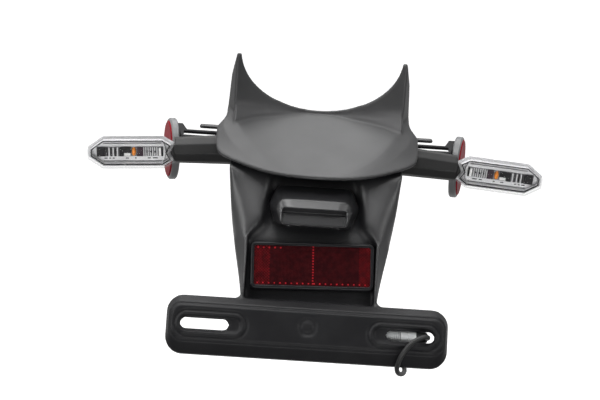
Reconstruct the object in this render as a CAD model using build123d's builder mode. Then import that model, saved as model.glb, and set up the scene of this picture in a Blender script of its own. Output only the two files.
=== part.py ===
from build123d import *
from math import asin, atan2, cos, degrees, radians, sin, tan
import os

os.makedirs("parts", exist_ok=True)

# Layout: the origin is the middle of the bolt pattern, on top of the mounting tongue
plate_lean = 30.0        # the plate face leans forward from upright, in degrees
plate_back = 178.0       # plate face centre behind the bolt pattern
tail_back = 50.0         # middle of the covered deck behind the bolt pattern
wall = 3.0               # moulded wall of the fender and its bar
fit = 0.3                # clearance of pieces that slot into each other
snug = 0.05              # clearance of a screw or stud in its hole

# Plate bar
bar_width = 213.6
bar_height = 44.7
bar_depth = 17.0
bar_corner = 13.0
bar_rise = 0.85          # bar outline above the plate centre
panel_width = 206.6
panel_height = 26.8
panel_corner = 8.5
panel_rise = 1.6         # raised panel above the plate centre
slope_depth = 9.6        # sloped border between bar outline and panel
slot_spacing = 146.0     # between the slot rims
slot_rise = 0.6
rim_length = 52.6
rim_height = 18.0
rim_width = 2.6
rim_proud = 1.0
slot_length = 35.6
slot_height = 8.0
slot_recess = 1.2        # slot floor below the panel
badge_radius = 7.6
badge_depth = 1.0
badge_rise = 2.9
bar_rib = 2.0
rib_places = (-36.0, -12.0, 12.0, 36.0)

# Fender
foot_height = 14.0
foot_half = 51.5
shin_height = 40.0
shin_half = 54.0
knee_height = 66.0
knee_half = 59.0
hip_height = 95.0
hip_half = 63.7
top_height = 126.0
top_step = 2.88          # fender top below the deck
top_half = 67.2
ridge_depth = 10.0       # flank ridges ahead of the plate face
root_round = 4.0         # fillet between the flanks and the bar
deck_rear = 24.0         # deck edge behind the tail middle
deck_front = 32.0        # deck edge ahead of the tail middle
deck_skirt = 30.0        # side walls below the deck
tongue_half = 48.0
tongue_front = 27.0      # tongue edge ahead of the bolt pattern
tongue_skirt = 16.0
groove_back = 30.0       # groove across the deck, behind the bolt pattern
groove_width = 2.0
groove_depth = 1.0
bolt_spacing_x = 70.0
bolt_spacing_y = 30.0
bolt_hole = 6.5
boss_radius = 8.0
boss_drop = 6.0          # boss height, deck included
collar_radius = 4.8
collar_flange = 7.0
collar_lip = 1.2
peg_reach = 28.0         # fairing peg beyond the side wall
peg_height = 3.0
peg_depth = 6.0
peg_forward = 25.0       # ahead of the tail middle
pocket_depth = 18.0      # channel floor ahead of the plate face
pocket_fall = 10.0       # extra channel depth at the top
pocket_gap = 2.0
neck_half = 37.0         # channel between the reflector and the hood
neck_rise = 12.0         # neck above the turn of the channel floor
neck_round = 14.0
shoulder_round = 30.0
mouth_round = 8.0

# Upper cover
cover_wall = 3.0
cover_slope = 19.0       # the dish floor falls to the rear, in degrees
lip_back = 66.0          # lip middle behind the tail middle
lip_drop = 10.4          # lip middle below the deck
cover_half = 79.8
lip_bow = (28.0, 1.7)    # lip outline on the slope, from its middle
lip_bend = (52.0, 10.5)
lip_corner = (73.5, 25.2)
lip_side = 50.0
lobe_side = 56.5
lobe_waist = (76.2, 64.0)
lobe_heel = (73.5, 69.5)
lobe_end = (72.8, 76.0)
rim_half = 67.0          # horn base at the end of the rim
rim_run = 65.0           # from the lip to the horn base
dish_radius = 320.0      # cross curve of the dish floor
ridge_share = 0.55       # height of the outer ridge, as a share of the rim
dish_length = 88.0
horn_height = 67.4
horn_tip = 3.4           # width of the horn tips
horn_foot = 73.0
horn_shoulder = (70.7, 48.5)
horn_return = 17.0       # side wall of the horn ahead of its crease
gap_half = 64.0          # opening between the horns
gap_floor = 20.0
gap_centre = 71.5
arch_radius = 130.0      # plan curve of the horn wall
arch_front = 15.5        # horn wall middle ahead of the tail middle
ledge_radius = 95.0      # ledge at the foot of the horn wall
ledge_set = 0.75         # ledge edge inside the wall in the middle
ledge_ramp = 4.0
ledge_flat = 1.0
ledge_foot = 14.6
ledge_top = 20.2
cove_radius = 9.0
flange_foot = 5.0        # front flange above the deck
cover_screw_x = 38.0
cover_screw_front = 2.0
cover_screw_rear = 17.0
cover_boss = 4.5
cover_pilot = 5.0        # screw hole depth in the bosses
screw_radius = 2.0
screw_head = 3.6
screw_head_height = 2.4

# Plate lamp
lamp_gap = 0.407         # hood above the reflector, as a share of the channel's free length
lamp_wall = 2.4
hood_half = 36.0
hood_base_top = 17.0
hood_base_low = 17.0
hood_front_half = 28.8
hood_front_rise = 1.5    # top of the hood's front above the lamp seat
hood_front_height = 22.0
hood_proud = 3.0         # hood front beyond the plate face
hood_round = 3.0
hood_waist = 4.0         # widest line of the hood above its middle
hood_top_inset = 7.0
hood_low_inset = 6.0
front_waist = 3.0
front_top_inset = 1.8
front_low_inset = 3.8
brow_fall = 5.0          # brow edge below the top of the hood's front
brow_inset = 5.0
brow_half = 24.5
seam = 0.6
gasket_height = 0.8
lamp_screw_x = 28.0
lamp_screw_reach = 7.0
lens_width = 36.0
lens_depth = 9.0
lens_share = 0.36        # lens middle along the underside, from the seat
lens_flange = 2.0
lens_flange_height = 1.2
lens_post = 4.0
lamp_board_height = 1.6
led_width = 3.5
led_height = 1.2
led_pitch = 9.0

# Rear reflector
reflector_width = 94.8
reflector_height = 36.5
reflector_depth = 6.0
reflector_gap = 0.3142   # tray above the bar, as a share of the channel's free length
reflector_shift = 1.2
reflector_skew = 2.2     # the tray sits a little askew on its stud, in degrees
reflector_rim = 2.9
reflector_corner = 4.5
reflector_floor = 2.0
reflector_set_in = 0.4   # lens face below the tray rim
stud_radius = 2.5
stud_length = 13.0
nut_flats = 8.0
nut_height = 4.0
washer_radius = 6.5
washer_height = 1.2

# Indicators
droop = 4.2              # the stalks fall outwards, in degrees
stalk_back = 12.0        # stalk axis behind the tail middle
stalk_drop = 9.5         # stalk root below the deck
stalk_length = 45.0
stalk_root_height = 23.5
stalk_end_height = 20.0
stalk_root_depth = 19.0
stalk_end_depth = 17.0
stalk_nose = 4.0
thread_drop = 12.5       # thread axis below the deck
thread_radius = 4.0
thread_length = 13.0
clamp_flats = 13.0
clamp_height = 5.0
clamp_washer = 8.0
clamp_washer_height = 1.5
lamp_length = 65.0       # indicator from its notch to its tip
lamp_half = 12.3
lamp_tip_half = 4.2
lamp_tip_run = 11.7
lamp_heel_run = 5.2
lamp_point_half = 7.0
lamp_notch = 3.6
lens_reach = 11.0        # clear lens behind the parting line
lens_wall = 2.0
lens_bevel = 2.6
housing_reach = 9.0
housing_draft = 18.0     # taper of the housing, in degrees
housing_rim = 3.5
plate_thick = 1.5        # reflector plate behind the lens
guide_height = 8.0
guide_length = 44.0
guide_reach = 4.0
guide_out = 32.8         # light guide middle beyond the stalk
block_out = 59.3         # dark block near the tip
block_length = 7.0
block_height = 9.0
block_reach = 4.0
board_length = 48.0
board_height = 12.0
board_thick = 1.6
amber_out = 33.0
amber_size = 5.0
amber_reach = 2.5

# Side reflectors
disc_radius = 25.0
disc_body = 6.0
disc_lens = 3.0
disc_margin = 2.0
disc_x = 113.5           # disc back from the middle
disc_forward = 27.0      # ahead of the tail middle
disc_drop = 22.5
disc_turn = 12.0         # the face turns to the rear, in degrees
disc_stud = 2.5
disc_stud_length = 12.0
bracket_thick = 2.5
bracket_end = 7.0        # bracket beyond its bolt
bracket_near = -1.0      # loop edges ahead of the tail middle
bracket_far = 19.0
bracket_arm = 4.5
bracket_bolt_inset = 11.5  # bolt inside the side wall
bracket_bolt_radius = 3.0
bracket_head = 5.2
bracket_head_height = 3.2
bracket_nut_flats = 10.0
bracket_nut_height = 5.0
tab_reach = 9.0          # bracket tab around the disc stud

# Lamp lead
lead_radius = 1.85
grommet_rise = 9.0
grommet_hole = 4.2
grommet_flange = 6.2
grommet_lip = 2.4
lead_start = 13.0
lead_stops = [
    # across, height up the plate face, depth ahead of it
    (6.0, 92.0, 48.0),
    (18.0, 68.0, 51.0),
    (36.0, 40.0, 50.0),
    (56.0, 14.0, 46.0),
    (71.0, -8.0, 40.0),
    (77.5, -20.0, 31.5),
    (75.5, -25.5, 22.0),
    (70.8, -26.8, 12.0),
    (68.4, -23.8, 4.0),
    (70.2, -16.6, -4.0),
    (74.5, -9.6, -7.5),
    (80.4, -3.4, -7.4),
    (88.0, 0.4, -6.0),
    (91.8, 0.6, 1.5),
]
slot_entry = 89.8        # where the lead turns to its connector
plug_start = 82.6
plug_length = 14.5
plug_height = 10.0
plug_depth = 10.6
boot_radius = 4.0
boot_rings = 4
boot_pitch = 2.4

lean = radians(plate_lean)
plate_drop = top_height * cos(lean) + top_step
up_face = Vector(0, sin(lean), cos(lean))
out_face = Vector(0, -cos(lean), sin(lean))
plate_centre = Vector(0, -plate_back, -plate_drop)
face = Plane(origin=plate_centre, x_dir=(1, 0, 0), z_dir=out_face)
side = Plane(origin=plate_centre, x_dir=up_face, z_dir=(-1, 0, 0))


def station(height):
    return Plane(origin=plate_centre + up_face * height, x_dir=(1, 0, 0), z_dir=up_face)


def face_point(height, depth, across=0):
    return plate_centre + up_face * height - out_face * depth + Vector(across, 0, 0)


def keep(piece, name):
    piece.part.label = name
    export_step(piece.part, f"parts/{name}.step")


# Each station of the fender: height, half width, ridge half, ridge depth, edge depth, open depth
fender_stations = [
    (foot_height, foot_half, foot_half - 1.5, ridge_depth, 15.0, 34.0),
    (shin_height, shin_half, foot_half - 0.8, ridge_depth, 17.0, 38.0),
    (knee_height, knee_half, foot_half - 0.5, ridge_depth + 0.5, 21.0, 44.0),
    (hip_height, hip_half, hip_half - 7.0, ridge_depth + 4.0, 22.0, 50.0),
    (top_height, top_half, top_half - 1.0, ridge_depth + 8.0, 21.0, 56.0),
]
top_ridge_depth = fender_stations[-1][3]
top_open_depth = fender_stations[-1][5]
bar_top = bar_rise + bar_height / 2
flank_root = foot_half + root_round / 8
free_length = top_height - bar_top - reflector_height - hood_base_top - hood_base_low
reflector_rise = bar_top + reflector_gap * free_length + reflector_height / 2
lamp_rise = reflector_rise + reflector_height / 2 + lamp_gap * free_length + hood_base_low
hood_front_top = lamp_rise + hood_front_rise
hood_front_low = hood_front_top - hood_front_height
brow_height = hood_front_top - brow_fall
pocket_half = reflector_width / 2 + pocket_gap
pocket_top = top_height + 2.0
pocket_turn = reflector_rise + reflector_height / 2 + 3.0
pocket_shoulder = lamp_rise + hood_waist
pocket_neck = pocket_turn + neck_rise
channel_reach = pocket_depth + pocket_fall + 2 * wall

# Lamp seat on the sloping part of the channel floor
floor_turn = face_point(pocket_turn, pocket_depth)
floor_top = face_point(pocket_top, pocket_depth + pocket_fall)
floor_run = (floor_top - floor_turn).normalized()
lamp_share = (lamp_rise - pocket_turn) / (pocket_top - pocket_turn)
lamp_seat = Plane(
    origin=floor_turn + (floor_top - floor_turn) * lamp_share,
    x_dir=(1, 0, 0),
    z_dir=Vector(1, 0, 0).cross(floor_run),
)


# Channel that runs down the fender, and the tub around it that stays when the fender is hollowed
def channel(grow):
    with BuildPart() as cut:
        with BuildSketch(face.offset(-channel_reach)):
            Polygon(
                (-pocket_half, bar_top - grow),
                (pocket_half, bar_top - grow),
                (pocket_half, pocket_turn),
                (neck_half, pocket_neck),
                (hood_half + seam, pocket_shoulder),
                (hood_half - hood_waist, pocket_top),
                (hood_waist - hood_half, pocket_top),
                (-hood_half - seam, pocket_shoulder),
                (-neck_half, pocket_neck),
                (-pocket_half, pocket_turn),
            )
            fillet(vertices().group_by(Axis.Y)[3], radius=shoulder_round)
            fillet(vertices().group_by(Axis.Y)[2], radius=neck_round)
            fillet(vertices().group_by(Axis.Y)[1], radius=mouth_round)
            if grow > 0:
                offset(amount=grow, kind=Kind.INTERSECTION)
        extrude(amount=channel_reach)
        with BuildSketch(side):
            Polygon(
                (0, -1),
                (0, pocket_depth + grow),
                (pocket_turn, pocket_depth + grow),
                (pocket_top, pocket_depth + pocket_fall + grow),
                (pocket_top + 2 * wall, pocket_depth + pocket_fall + grow),
                (pocket_top + 2 * wall, -1),
            )
        extrude(amount=bar_width, both=True, mode=Mode.INTERSECT)
    return cut.part


channel_cut = channel(0)
channel_tub = channel(wall)

# Hollow of the fender behind its skin
with BuildPart() as fender_hollow:
    for height, half, ridge, ridge_at, edge_at, open_at in fender_stations:
        with BuildSketch(station(height)):
            Polygon(
                (half - wall, open_at + wall),
                (half - wall, edge_at + wall),
                (ridge - wall, ridge_at + wall),
                (wall - ridge, ridge_at + wall),
                (wall - half, edge_at + wall),
                (wall - half, open_at + wall),
            )
    loft()
    add(channel_tub, mode=Mode.SUBTRACT)

# Hollow under the deck and the tongue
deck_foot = face_point(top_height, top_ridge_depth)
deck_heel = face_point(top_height, top_open_depth)
inner_foot = face_point(top_height - 2, top_ridge_depth + wall)
inner_heel = face_point(top_height - 2, top_open_depth + 8 * wall)
deck_edge = -tail_back - deck_rear
deck_end = -tail_back + deck_front
with BuildPart() as deck_hollow:
    with BuildSketch(Plane.YZ):
        Polygon(
            (inner_foot.Y, inner_foot.Z),
            (deck_edge, -wall),
            (deck_end - wall, -wall),
            (deck_end - wall, inner_heel.Z - deck_skirt),
            (inner_heel.Y, inner_heel.Z),
        )
    extrude(amount=top_half - wall, both=True)
    with BuildSketch(Plane.XY.offset(-wall)):
        with Locations((0, (deck_end + tongue_front) / 2 - wall)):
            Rectangle(2 * (tongue_half - wall), tongue_front - deck_end + 2 * wall)
    extrude(amount=-deck_skirt)
    add(channel_tub, mode=Mode.SUBTRACT)

# Inside of the plate bar and the ribs that cross it
with BuildPart() as bar_hollow:
    with BuildSketch(face.offset(-bar_depth)):
        with Locations((0, bar_rise)):
            RectangleRounded(bar_width - 2 * wall, bar_height - 2 * wall, bar_corner - wall)
    extrude(amount=bar_depth - slope_depth)
    with BuildSketch(face.offset(-slope_depth)):
        with Locations((0, bar_rise)):
            RectangleRounded(bar_width - 2 * wall, bar_height - 2 * wall, bar_corner - wall)
    with BuildSketch(face.offset(-wall)):
        with Locations((0, panel_rise)):
            RectangleRounded(panel_width - wall, panel_height - wall, panel_corner - wall / 2)
    loft()
with BuildPart() as bar_ribs:
    with BuildSketch(face):
        for place in rib_places:
            with Locations((place, bar_rise)):
                Rectangle(bar_rib, bar_height)
    extrude(amount=-bar_depth + wall)
    add(bar_hollow.part, mode=Mode.INTERSECT)

# Fender and plate bar, moulded in one piece
recess_length = rim_length - 2 * rim_width
recess_height = rim_height - 2 * rim_width
slot_place = slot_spacing / 2 + (recess_length - slot_length) / 2 - rim_width / 2
stalk_y = -tail_back - stalk_back
disc_y = -tail_back + disc_forward
bracket_y = -tail_back + (bracket_near + bracket_far) / 2
bracket_depth = bracket_far - bracket_near
bracket_bolt_x = top_half - bracket_bolt_inset
bracket_inner = bracket_bolt_x - bracket_end
with BuildPart() as fender_body:
    for height, half, ridge, ridge_at, edge_at, open_at in fender_stations:
        with BuildSketch(station(height)):
            Polygon(
                (half, open_at),
                (half, edge_at),
                (ridge, ridge_at),
                (-ridge, ridge_at),
                (-half, edge_at),
                (-half, open_at),
            )
    loft()
    with BuildSketch(Plane.YZ):
        Polygon(
            (deck_foot.Y, deck_foot.Z),
            (deck_edge, 0),
            (deck_end, 0),
            (deck_end, 4 - deck_skirt),
            (-tail_back, -deck_skirt - 2),
            (deck_heel.Y, deck_heel.Z),
        )
    extrude(amount=top_half, both=True)
    with BuildSketch(Plane.XY):
        with Locations((0, (deck_end + tongue_front) / 2 - wall)):
            Rectangle(2 * tongue_half, tongue_front - deck_end + 2 * wall)
        fillet(vertices().group_by(Axis.Y)[-1], radius=boss_radius)
    extrude(amount=-tongue_skirt)
    add(channel_cut, mode=Mode.SUBTRACT)
    add(fender_hollow.part, mode=Mode.SUBTRACT)
    add(deck_hollow.part, mode=Mode.SUBTRACT)
    with BuildSketch(face.offset(-bar_depth)):
        with Locations((0, bar_rise)):
            RectangleRounded(bar_width, bar_height, bar_corner)
    extrude(amount=bar_depth - slope_depth)
    with BuildSketch(face.offset(-slope_depth)):
        with Locations((0, bar_rise)):
            RectangleRounded(bar_width, bar_height, bar_corner)
    with BuildSketch(face):
        with Locations((0, panel_rise)):
            RectangleRounded(panel_width, panel_height, panel_corner)
    loft()
    add(bar_hollow.part, mode=Mode.SUBTRACT)
    add(bar_ribs.part)
    # Small fillets where the flanks run into the bar
    with BuildSketch(face.offset(-bar_depth)):
        for sign in (-1, 1):
            with Locations((sign * (flank_root + root_round / 2), bar_top + root_round / 2)):
                Rectangle(root_round, root_round)
        for sign in (-1, 1):
            with Locations((sign * (flank_root + root_round), bar_top + root_round)):
                Circle(root_round, mode=Mode.SUBTRACT)
    extrude(amount=bar_depth - slope_depth)
    # Slots for the plate bolts, with a raised rim and a sunk floor
    with BuildSketch(face):
        with Locations((-slot_spacing / 2, slot_rise), (slot_spacing / 2, slot_rise)):
            SlotOverall(rim_length, rim_height)
            SlotOverall(recess_length, recess_height, mode=Mode.SUBTRACT)
    extrude(amount=rim_proud)
    with BuildSketch(face):
        with Locations((-slot_spacing / 2, slot_rise), (slot_spacing / 2, slot_rise)):
            SlotOverall(recess_length, recess_height)
    extrude(amount=-slot_recess, mode=Mode.SUBTRACT)
    with BuildSketch(face):
        with Locations((-slot_place, slot_rise), (slot_place, slot_rise)):
            SlotOverall(slot_length, slot_height)
    extrude(amount=-2 * wall, mode=Mode.SUBTRACT)
    # Plain round field in the middle of the panel
    with BuildSketch(face):
        with Locations((0, badge_rise)):
            Circle(badge_radius)
            Circle(badge_radius / 2, mode=Mode.SUBTRACT)
    extrude(amount=-badge_depth, mode=Mode.SUBTRACT)
    # Bolt bosses under the tongue and holes for their collars
    with BuildSketch(Plane.XY.offset(-boss_drop)):
        with GridLocations(bolt_spacing_x, bolt_spacing_y, 2, 2):
            Circle(boss_radius)
    extrude(amount=boss_drop)
    with BuildSketch(Plane.XY):
        with GridLocations(bolt_spacing_x, bolt_spacing_y, 2, 2):
            Circle(collar_radius + snug)
    extrude(amount=-boss_drop, mode=Mode.SUBTRACT)
    # Groove that sets the tongue's seat apart from the covered deck
    with BuildSketch(Plane.XY):
        with Locations((0, -groove_back)):
            Rectangle(2 * (top_half + wall), groove_width)
    extrude(amount=-groove_depth, mode=Mode.SUBTRACT)
    # Screw holes for the cover and for the bracket bolts
    with BuildSketch(Plane.XY):
        for sign in (-1, 1):
            with Locations(
                (sign * cover_screw_x, -tail_back - cover_screw_front),
                (sign * cover_screw_x, -tail_back - cover_screw_rear),
            ):
                Circle(screw_radius + fit)
            with Locations((sign * bracket_bolt_x, bracket_y)):
                Circle(bracket_bolt_radius + fit)
    extrude(amount=-2 * wall, mode=Mode.SUBTRACT)
    # Fairing pegs on both side walls
    with BuildSketch(Plane.XY.offset(-peg_height)):
        with Locations((0, -tail_back + peg_forward)):
            SlotOverall(2 * (top_half + peg_reach), peg_depth)
            Rectangle(2 * (top_half - wall), peg_depth, mode=Mode.SUBTRACT)
    extrude(amount=peg_height)
    # Holes for the indicator threads and slits for the reflector brackets
    with BuildSketch(Plane.YZ):
        with Locations((stalk_y, -thread_drop)):
            Circle(thread_radius + fit)
        with Locations((bracket_y, -wall - bracket_thick / 2)):
            Rectangle(bracket_depth + 2 * fit, bracket_thick + 2 * fit)
    extrude(amount=2 * top_half, both=True, mode=Mode.SUBTRACT)
    # Holes in the channel floor: reflector stud, lamp screws, lead grommet
    with BuildSketch(face.offset(-pocket_depth)):
        with Locations((reflector_shift, reflector_rise)):
            Circle(stud_radius + fit)
    extrude(amount=-2 * wall, mode=Mode.SUBTRACT)
    with BuildSketch(lamp_seat):
        with Locations((-lamp_screw_x, 0), (lamp_screw_x, 0)):
            Circle(screw_radius + fit)
        with Locations((0, grommet_rise)):
            Circle(grommet_hole)
    extrude(amount=-2 * wall, mode=Mode.SUBTRACT)
keep(fender_body, "fender_body")

# Upper cover: the dish floor and the skirts around it are lofted along the slope
cover_tilt = radians(cover_slope)
run_dir = Vector(0, cos(cover_tilt), sin(cover_tilt))
lip_middle = Vector(0, -tail_back - lip_back, -lip_drop)
cover_top = Plane(origin=lip_middle, x_dir=(1, 0, 0), z_dir=Vector(1, 0, 0).cross(run_dir))


def cover_station(run):
    return Plane(origin=lip_middle + run_dir * run, x_dir=(1, 0, 0), z_dir=run_dir * -1)


# Each station: distance from the lip, rim half, softness of the rim, ridge half, drop of the outer edge
cover_runs = [
    (-4.0, 12.0, 5.0, 24.0, 3.0),
    (8.0, 27.0, 6.0, 37.0, 3.5),
    (20.0, 41.0, 6.0, 53.0, 4.0),
    (36.0, 53.0, 4.0, 66.0, 4.0),
    (50.0, 60.5, 2.0, 73.0, 3.0),
    (rim_run, rim_half, 1.0, 75.0, 1.5),
    (dish_length + 4, rim_half + 2, 1.0, 76.0, 1.5),
]
outer_half = cover_half + 6


# Right half of a section from the rim outwards, with the rim softened by three points
def cover_edge(rim, soft, ridge, fall):
    rise = rim**2 / (2 * dish_radius)
    slope = (1 - ridge_share) * rise / (ridge - rim)
    inner_rise = (rim - soft) ** 2 / (2 * dish_radius)
    outer_rise = rise - slope * soft
    return [
        (rim - soft, inner_rise),
        (rim, (2 * rise + inner_rise + outer_rise) / 4),
        (rim + soft, outer_rise),
        (ridge, ridge_share * rise),
        (outer_half, -fall),
    ]


def cover_layer(top, bottom):
    with BuildPart() as layer:
        for run, rim, soft, ridge, fall in cover_runs:
            edge = cover_edge(rim, soft, ridge, fall)
            upper = [(x, rise + top) for x, rise in edge]
            lower = [(x, rise + bottom) for x, rise in edge]
            upper_left = [(-x, rise) for x, rise in upper]
            lower_left = [(-x, rise) for x, rise in lower]
            with BuildSketch(cover_station(run)):
                with BuildLine():
                    ThreePointArc(upper_left[0], (0, top), upper[0])
                    Polyline(*upper, *reversed(lower))
                    ThreePointArc(lower[0], (0, bottom), lower_left[0])
                    Polyline(*lower_left, *reversed(upper_left))
                make_face()
        loft()
    return layer.part


dish_skin = cover_layer(0, -cover_wall)
dish_under = cover_layer(-cover_wall / 2, -10 * cover_wall)

# Horned wall at the front of the dish: a plan band cut to its outline as seen from the rear
arch_middle = -tail_back + arch_front
arch_y = arch_middle - arch_radius
crease_half = rim_half
crease_y = arch_y + (arch_radius**2 - crease_half**2) ** 0.5
return_x = horn_foot + 2.0
return_y = crease_y + horn_return
gap_drop = gap_centre - gap_floor
gap_lift = degrees(asin((gap_centre - horn_height) / gap_drop))
tip_outer = gap_half * cos(radians(gap_lift)) + horn_tip
half_wall = cover_wall / 2
with BuildPart() as horn_wall:
    with BuildSketch(Plane.XY):
        with BuildLine():
            Line((-return_x, return_y), (-crease_half, crease_y))
            ThreePointArc((-crease_half, crease_y), (0, arch_middle), (crease_half, crease_y))
            Line((crease_half, crease_y), (return_x, return_y))
            offset(amount=cover_wall, side=Side.LEFT, kind=Kind.INTERSECTION)
        make_face()
    extrude(amount=horn_height + 1)
    with BuildSketch(Plane.XZ):
        with BuildLine():
            gap = EllipticalCenterArc(
                (0, gap_centre), gap_half, gap_drop, 180 + gap_lift, arc_size=180 - 2 * gap_lift
            )
            Polyline(
                gap @ 1,
                (tip_outer, horn_height),
                horn_shoulder,
                (horn_foot, 2 * flange_foot),
                (horn_foot, flange_foot),
                (-horn_foot, flange_foot),
                (-horn_foot, 2 * flange_foot),
                (-horn_shoulder[0], horn_shoulder[1]),
                (-tip_outer, horn_height),
                gap @ 0,
            )
        make_face()
        fillet(vertices().group_by(Axis.Y)[-1], radius=horn_tip / 2.5)
    extrude(amount=plate_back, both=True, mode=Mode.INTERSECT)

# Ledge along the foot of the horned wall, deep at the horns and running out towards the middle
ledge_y = arch_middle + ledge_set - ledge_radius
cove_start = ledge_radius + ledge_ramp + ledge_flat
cove_end = cove_start + cove_radius
ledge_base = ledge_foot - cover_wall
ledge_section = Plane(origin=(0, ledge_y, 0), x_dir=(0, 1, 0), z_dir=(1, 0, 0))
ledge_axis = Axis((0, ledge_y, 0), (0, 0, 1))
with BuildPart() as horn_ledge:
    with BuildSketch(ledge_section):
        with BuildLine():
            Polyline(
                (cove_end, ledge_top + cove_radius),
                (cove_end, ledge_base),
                (ledge_radius, ledge_base),
                (ledge_radius, ledge_foot),
                (ledge_radius + ledge_ramp, ledge_top),
                (cove_start, ledge_top),
            )
            CenterArc((cove_start, ledge_top + cove_radius), cove_radius, -90, 90)
        make_face()
    revolve(axis=ledge_axis, revolution_arc=360)
    with BuildSketch(Plane.XY):
        with BuildLine():
            ThreePointArc(
                (-crease_half, crease_y + half_wall),
                (0, arch_middle + half_wall),
                (crease_half, crease_y + half_wall),
            )
            Polyline(
                (crease_half, crease_y + half_wall),
                (crease_half, ledge_y),
                (-crease_half, ledge_y),
                (-crease_half, crease_y + half_wall),
            )
        make_face()
    extrude(amount=horn_height, mode=Mode.INTERSECT)

# Bosses under the dish for the screws that come up through the deck
cover_screws_at = [
    (sign * cover_screw_x, -tail_back - row)
    for sign in (-1, 1)
    for row in (cover_screw_front, cover_screw_rear)
]
with BuildPart() as cover_bosses:
    with BuildSketch(Plane.XY):
        with Locations(*cover_screws_at):
            Circle(cover_boss)
    extrude(amount=horn_height)
    add(dish_under, mode=Mode.INTERSECT)

with BuildPart() as upper_cover:
    add(dish_skin)
    with BuildSketch(cover_top.offset(-10 * cover_wall)):
        with BuildLine():
            Spline(
                (0, 0), lip_bow, lip_bend, lip_corner, (cover_half, lip_side), tangents=((1, 0), (0, 1))
            )
            Line((cover_half, lip_side), (cover_half, lobe_side))
            Spline(
                (cover_half, lobe_side), lobe_waist, lobe_heel, lobe_end, tangents=((0, 1), (0, 1))
            )
            Polyline(lobe_end, (lobe_end[0], dish_length + 2), (0, dish_length + 2))
            mirror(about=Plane.YZ)
        make_face()
    extrude(amount=20 * cover_wall, mode=Mode.INTERSECT)
    with BuildSketch(Plane.XY.offset(-horn_height)):
        with BuildLine():
            Line((-return_x, return_y + half_wall), (-crease_half, crease_y + half_wall))
            ThreePointArc(
                (-crease_half, crease_y + half_wall),
                (0, arch_middle + half_wall),
                (crease_half, crease_y + half_wall),
            )
            Polyline(
                (crease_half, crease_y + half_wall),
                (return_x, return_y + half_wall),
                (return_x, plate_back),
                (-return_x, plate_back),
                (-return_x, return_y + half_wall),
            )
        make_face()
    extrude(amount=2 * horn_height, mode=Mode.SUBTRACT)
    add(horn_ledge.part)
    add(horn_wall.part)
    add(cover_bosses.part)
    with BuildSketch(Plane.XY):
        with Locations(*cover_screws_at):
            Circle(screw_radius + snug)
    extrude(amount=cover_pilot, mode=Mode.SUBTRACT)
keep(upper_cover, "upper_cover")

# Pan head screws from under the deck
with BuildPart() as cover_screws:
    with BuildSketch(Plane.XY.offset(-wall - screw_head_height)):
        with Locations(*cover_screws_at):
            Circle(screw_head)
    extrude(amount=screw_head_height)
    with BuildSketch(Plane.XY.offset(-wall)):
        with Locations(*cover_screws_at):
            Circle(screw_radius)
    extrude(amount=wall + cover_pilot - fit)
    chamfer(cover_screws.faces().sort_by(Axis.Z)[:4].edges(), length=screw_head_height / 3)
keep(cover_screws, "cover_screws")

# Steel collars that line the bolt holes
with BuildPart() as mount_collars:
    with BuildSketch(Plane.XY.offset(-boss_drop - collar_lip)):
        with GridLocations(bolt_spacing_x, bolt_spacing_y, 2, 2):
            Circle(collar_flange)
    extrude(amount=collar_lip)
    with BuildSketch(Plane.XY.offset(-boss_drop)):
        with GridLocations(bolt_spacing_x, bolt_spacing_y, 2, 2):
            Circle(collar_radius)
    extrude(amount=boss_drop)
    with BuildSketch(Plane.XY):
        with GridLocations(bolt_spacing_x, bolt_spacing_y, 2, 2):
            Circle(bolt_hole / 2)
    extrude(amount=-2 * boss_drop, mode=Mode.SUBTRACT)
keep(mount_collars, "mount_collars")

# Plate lamp hood: lofted from its seat to the brow, with the lamp hollow inside
seat_fall = atan2(pocket_fall, pocket_top - pocket_turn)
seat_wall = wall * cos(seat_fall)
hood_base = lamp_seat.offset(gasket_height)
hood_front_mid = (hood_front_top + hood_front_low) / 2
hood_front_reach = (hood_front_top - hood_front_low) / 2


def hood_foot(inset):
    with BuildSketch() as foot:
        Polygon(
            (hood_half - hood_top_inset, hood_base_top),
            (hood_half, hood_waist),
            (hood_half - hood_low_inset, -hood_base_low),
            (hood_low_inset - hood_half, -hood_base_low),
            (-hood_half, hood_waist),
            (hood_top_inset - hood_half, hood_base_top),
        )
        fillet(vertices(), radius=2 * hood_round)
        if inset > 0:
            offset(amount=-inset)
    return foot.sketch


def hood_face(inset):
    with BuildSketch() as front:
        Polygon(
            (hood_front_half - front_top_inset, hood_front_reach),
            (hood_front_half, front_waist),
            (hood_front_half - front_low_inset, -hood_front_reach),
            (front_low_inset - hood_front_half, -hood_front_reach),
            (-hood_front_half, front_waist),
            (front_top_inset - hood_front_half, hood_front_reach),
        )
        fillet(vertices(), radius=hood_round)
        if inset > 0:
            offset(amount=-inset)
    return front.sketch


def hood_shape(inset):
    foot = hood_foot(inset)
    front = hood_face(inset)
    with BuildPart() as shape:
        with BuildSketch(hood_base):
            add(foot)
        with BuildSketch(face.offset(hood_proud)):
            with Locations((0, hood_front_mid)):
                add(front)
        loft()
    return shape.part


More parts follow.
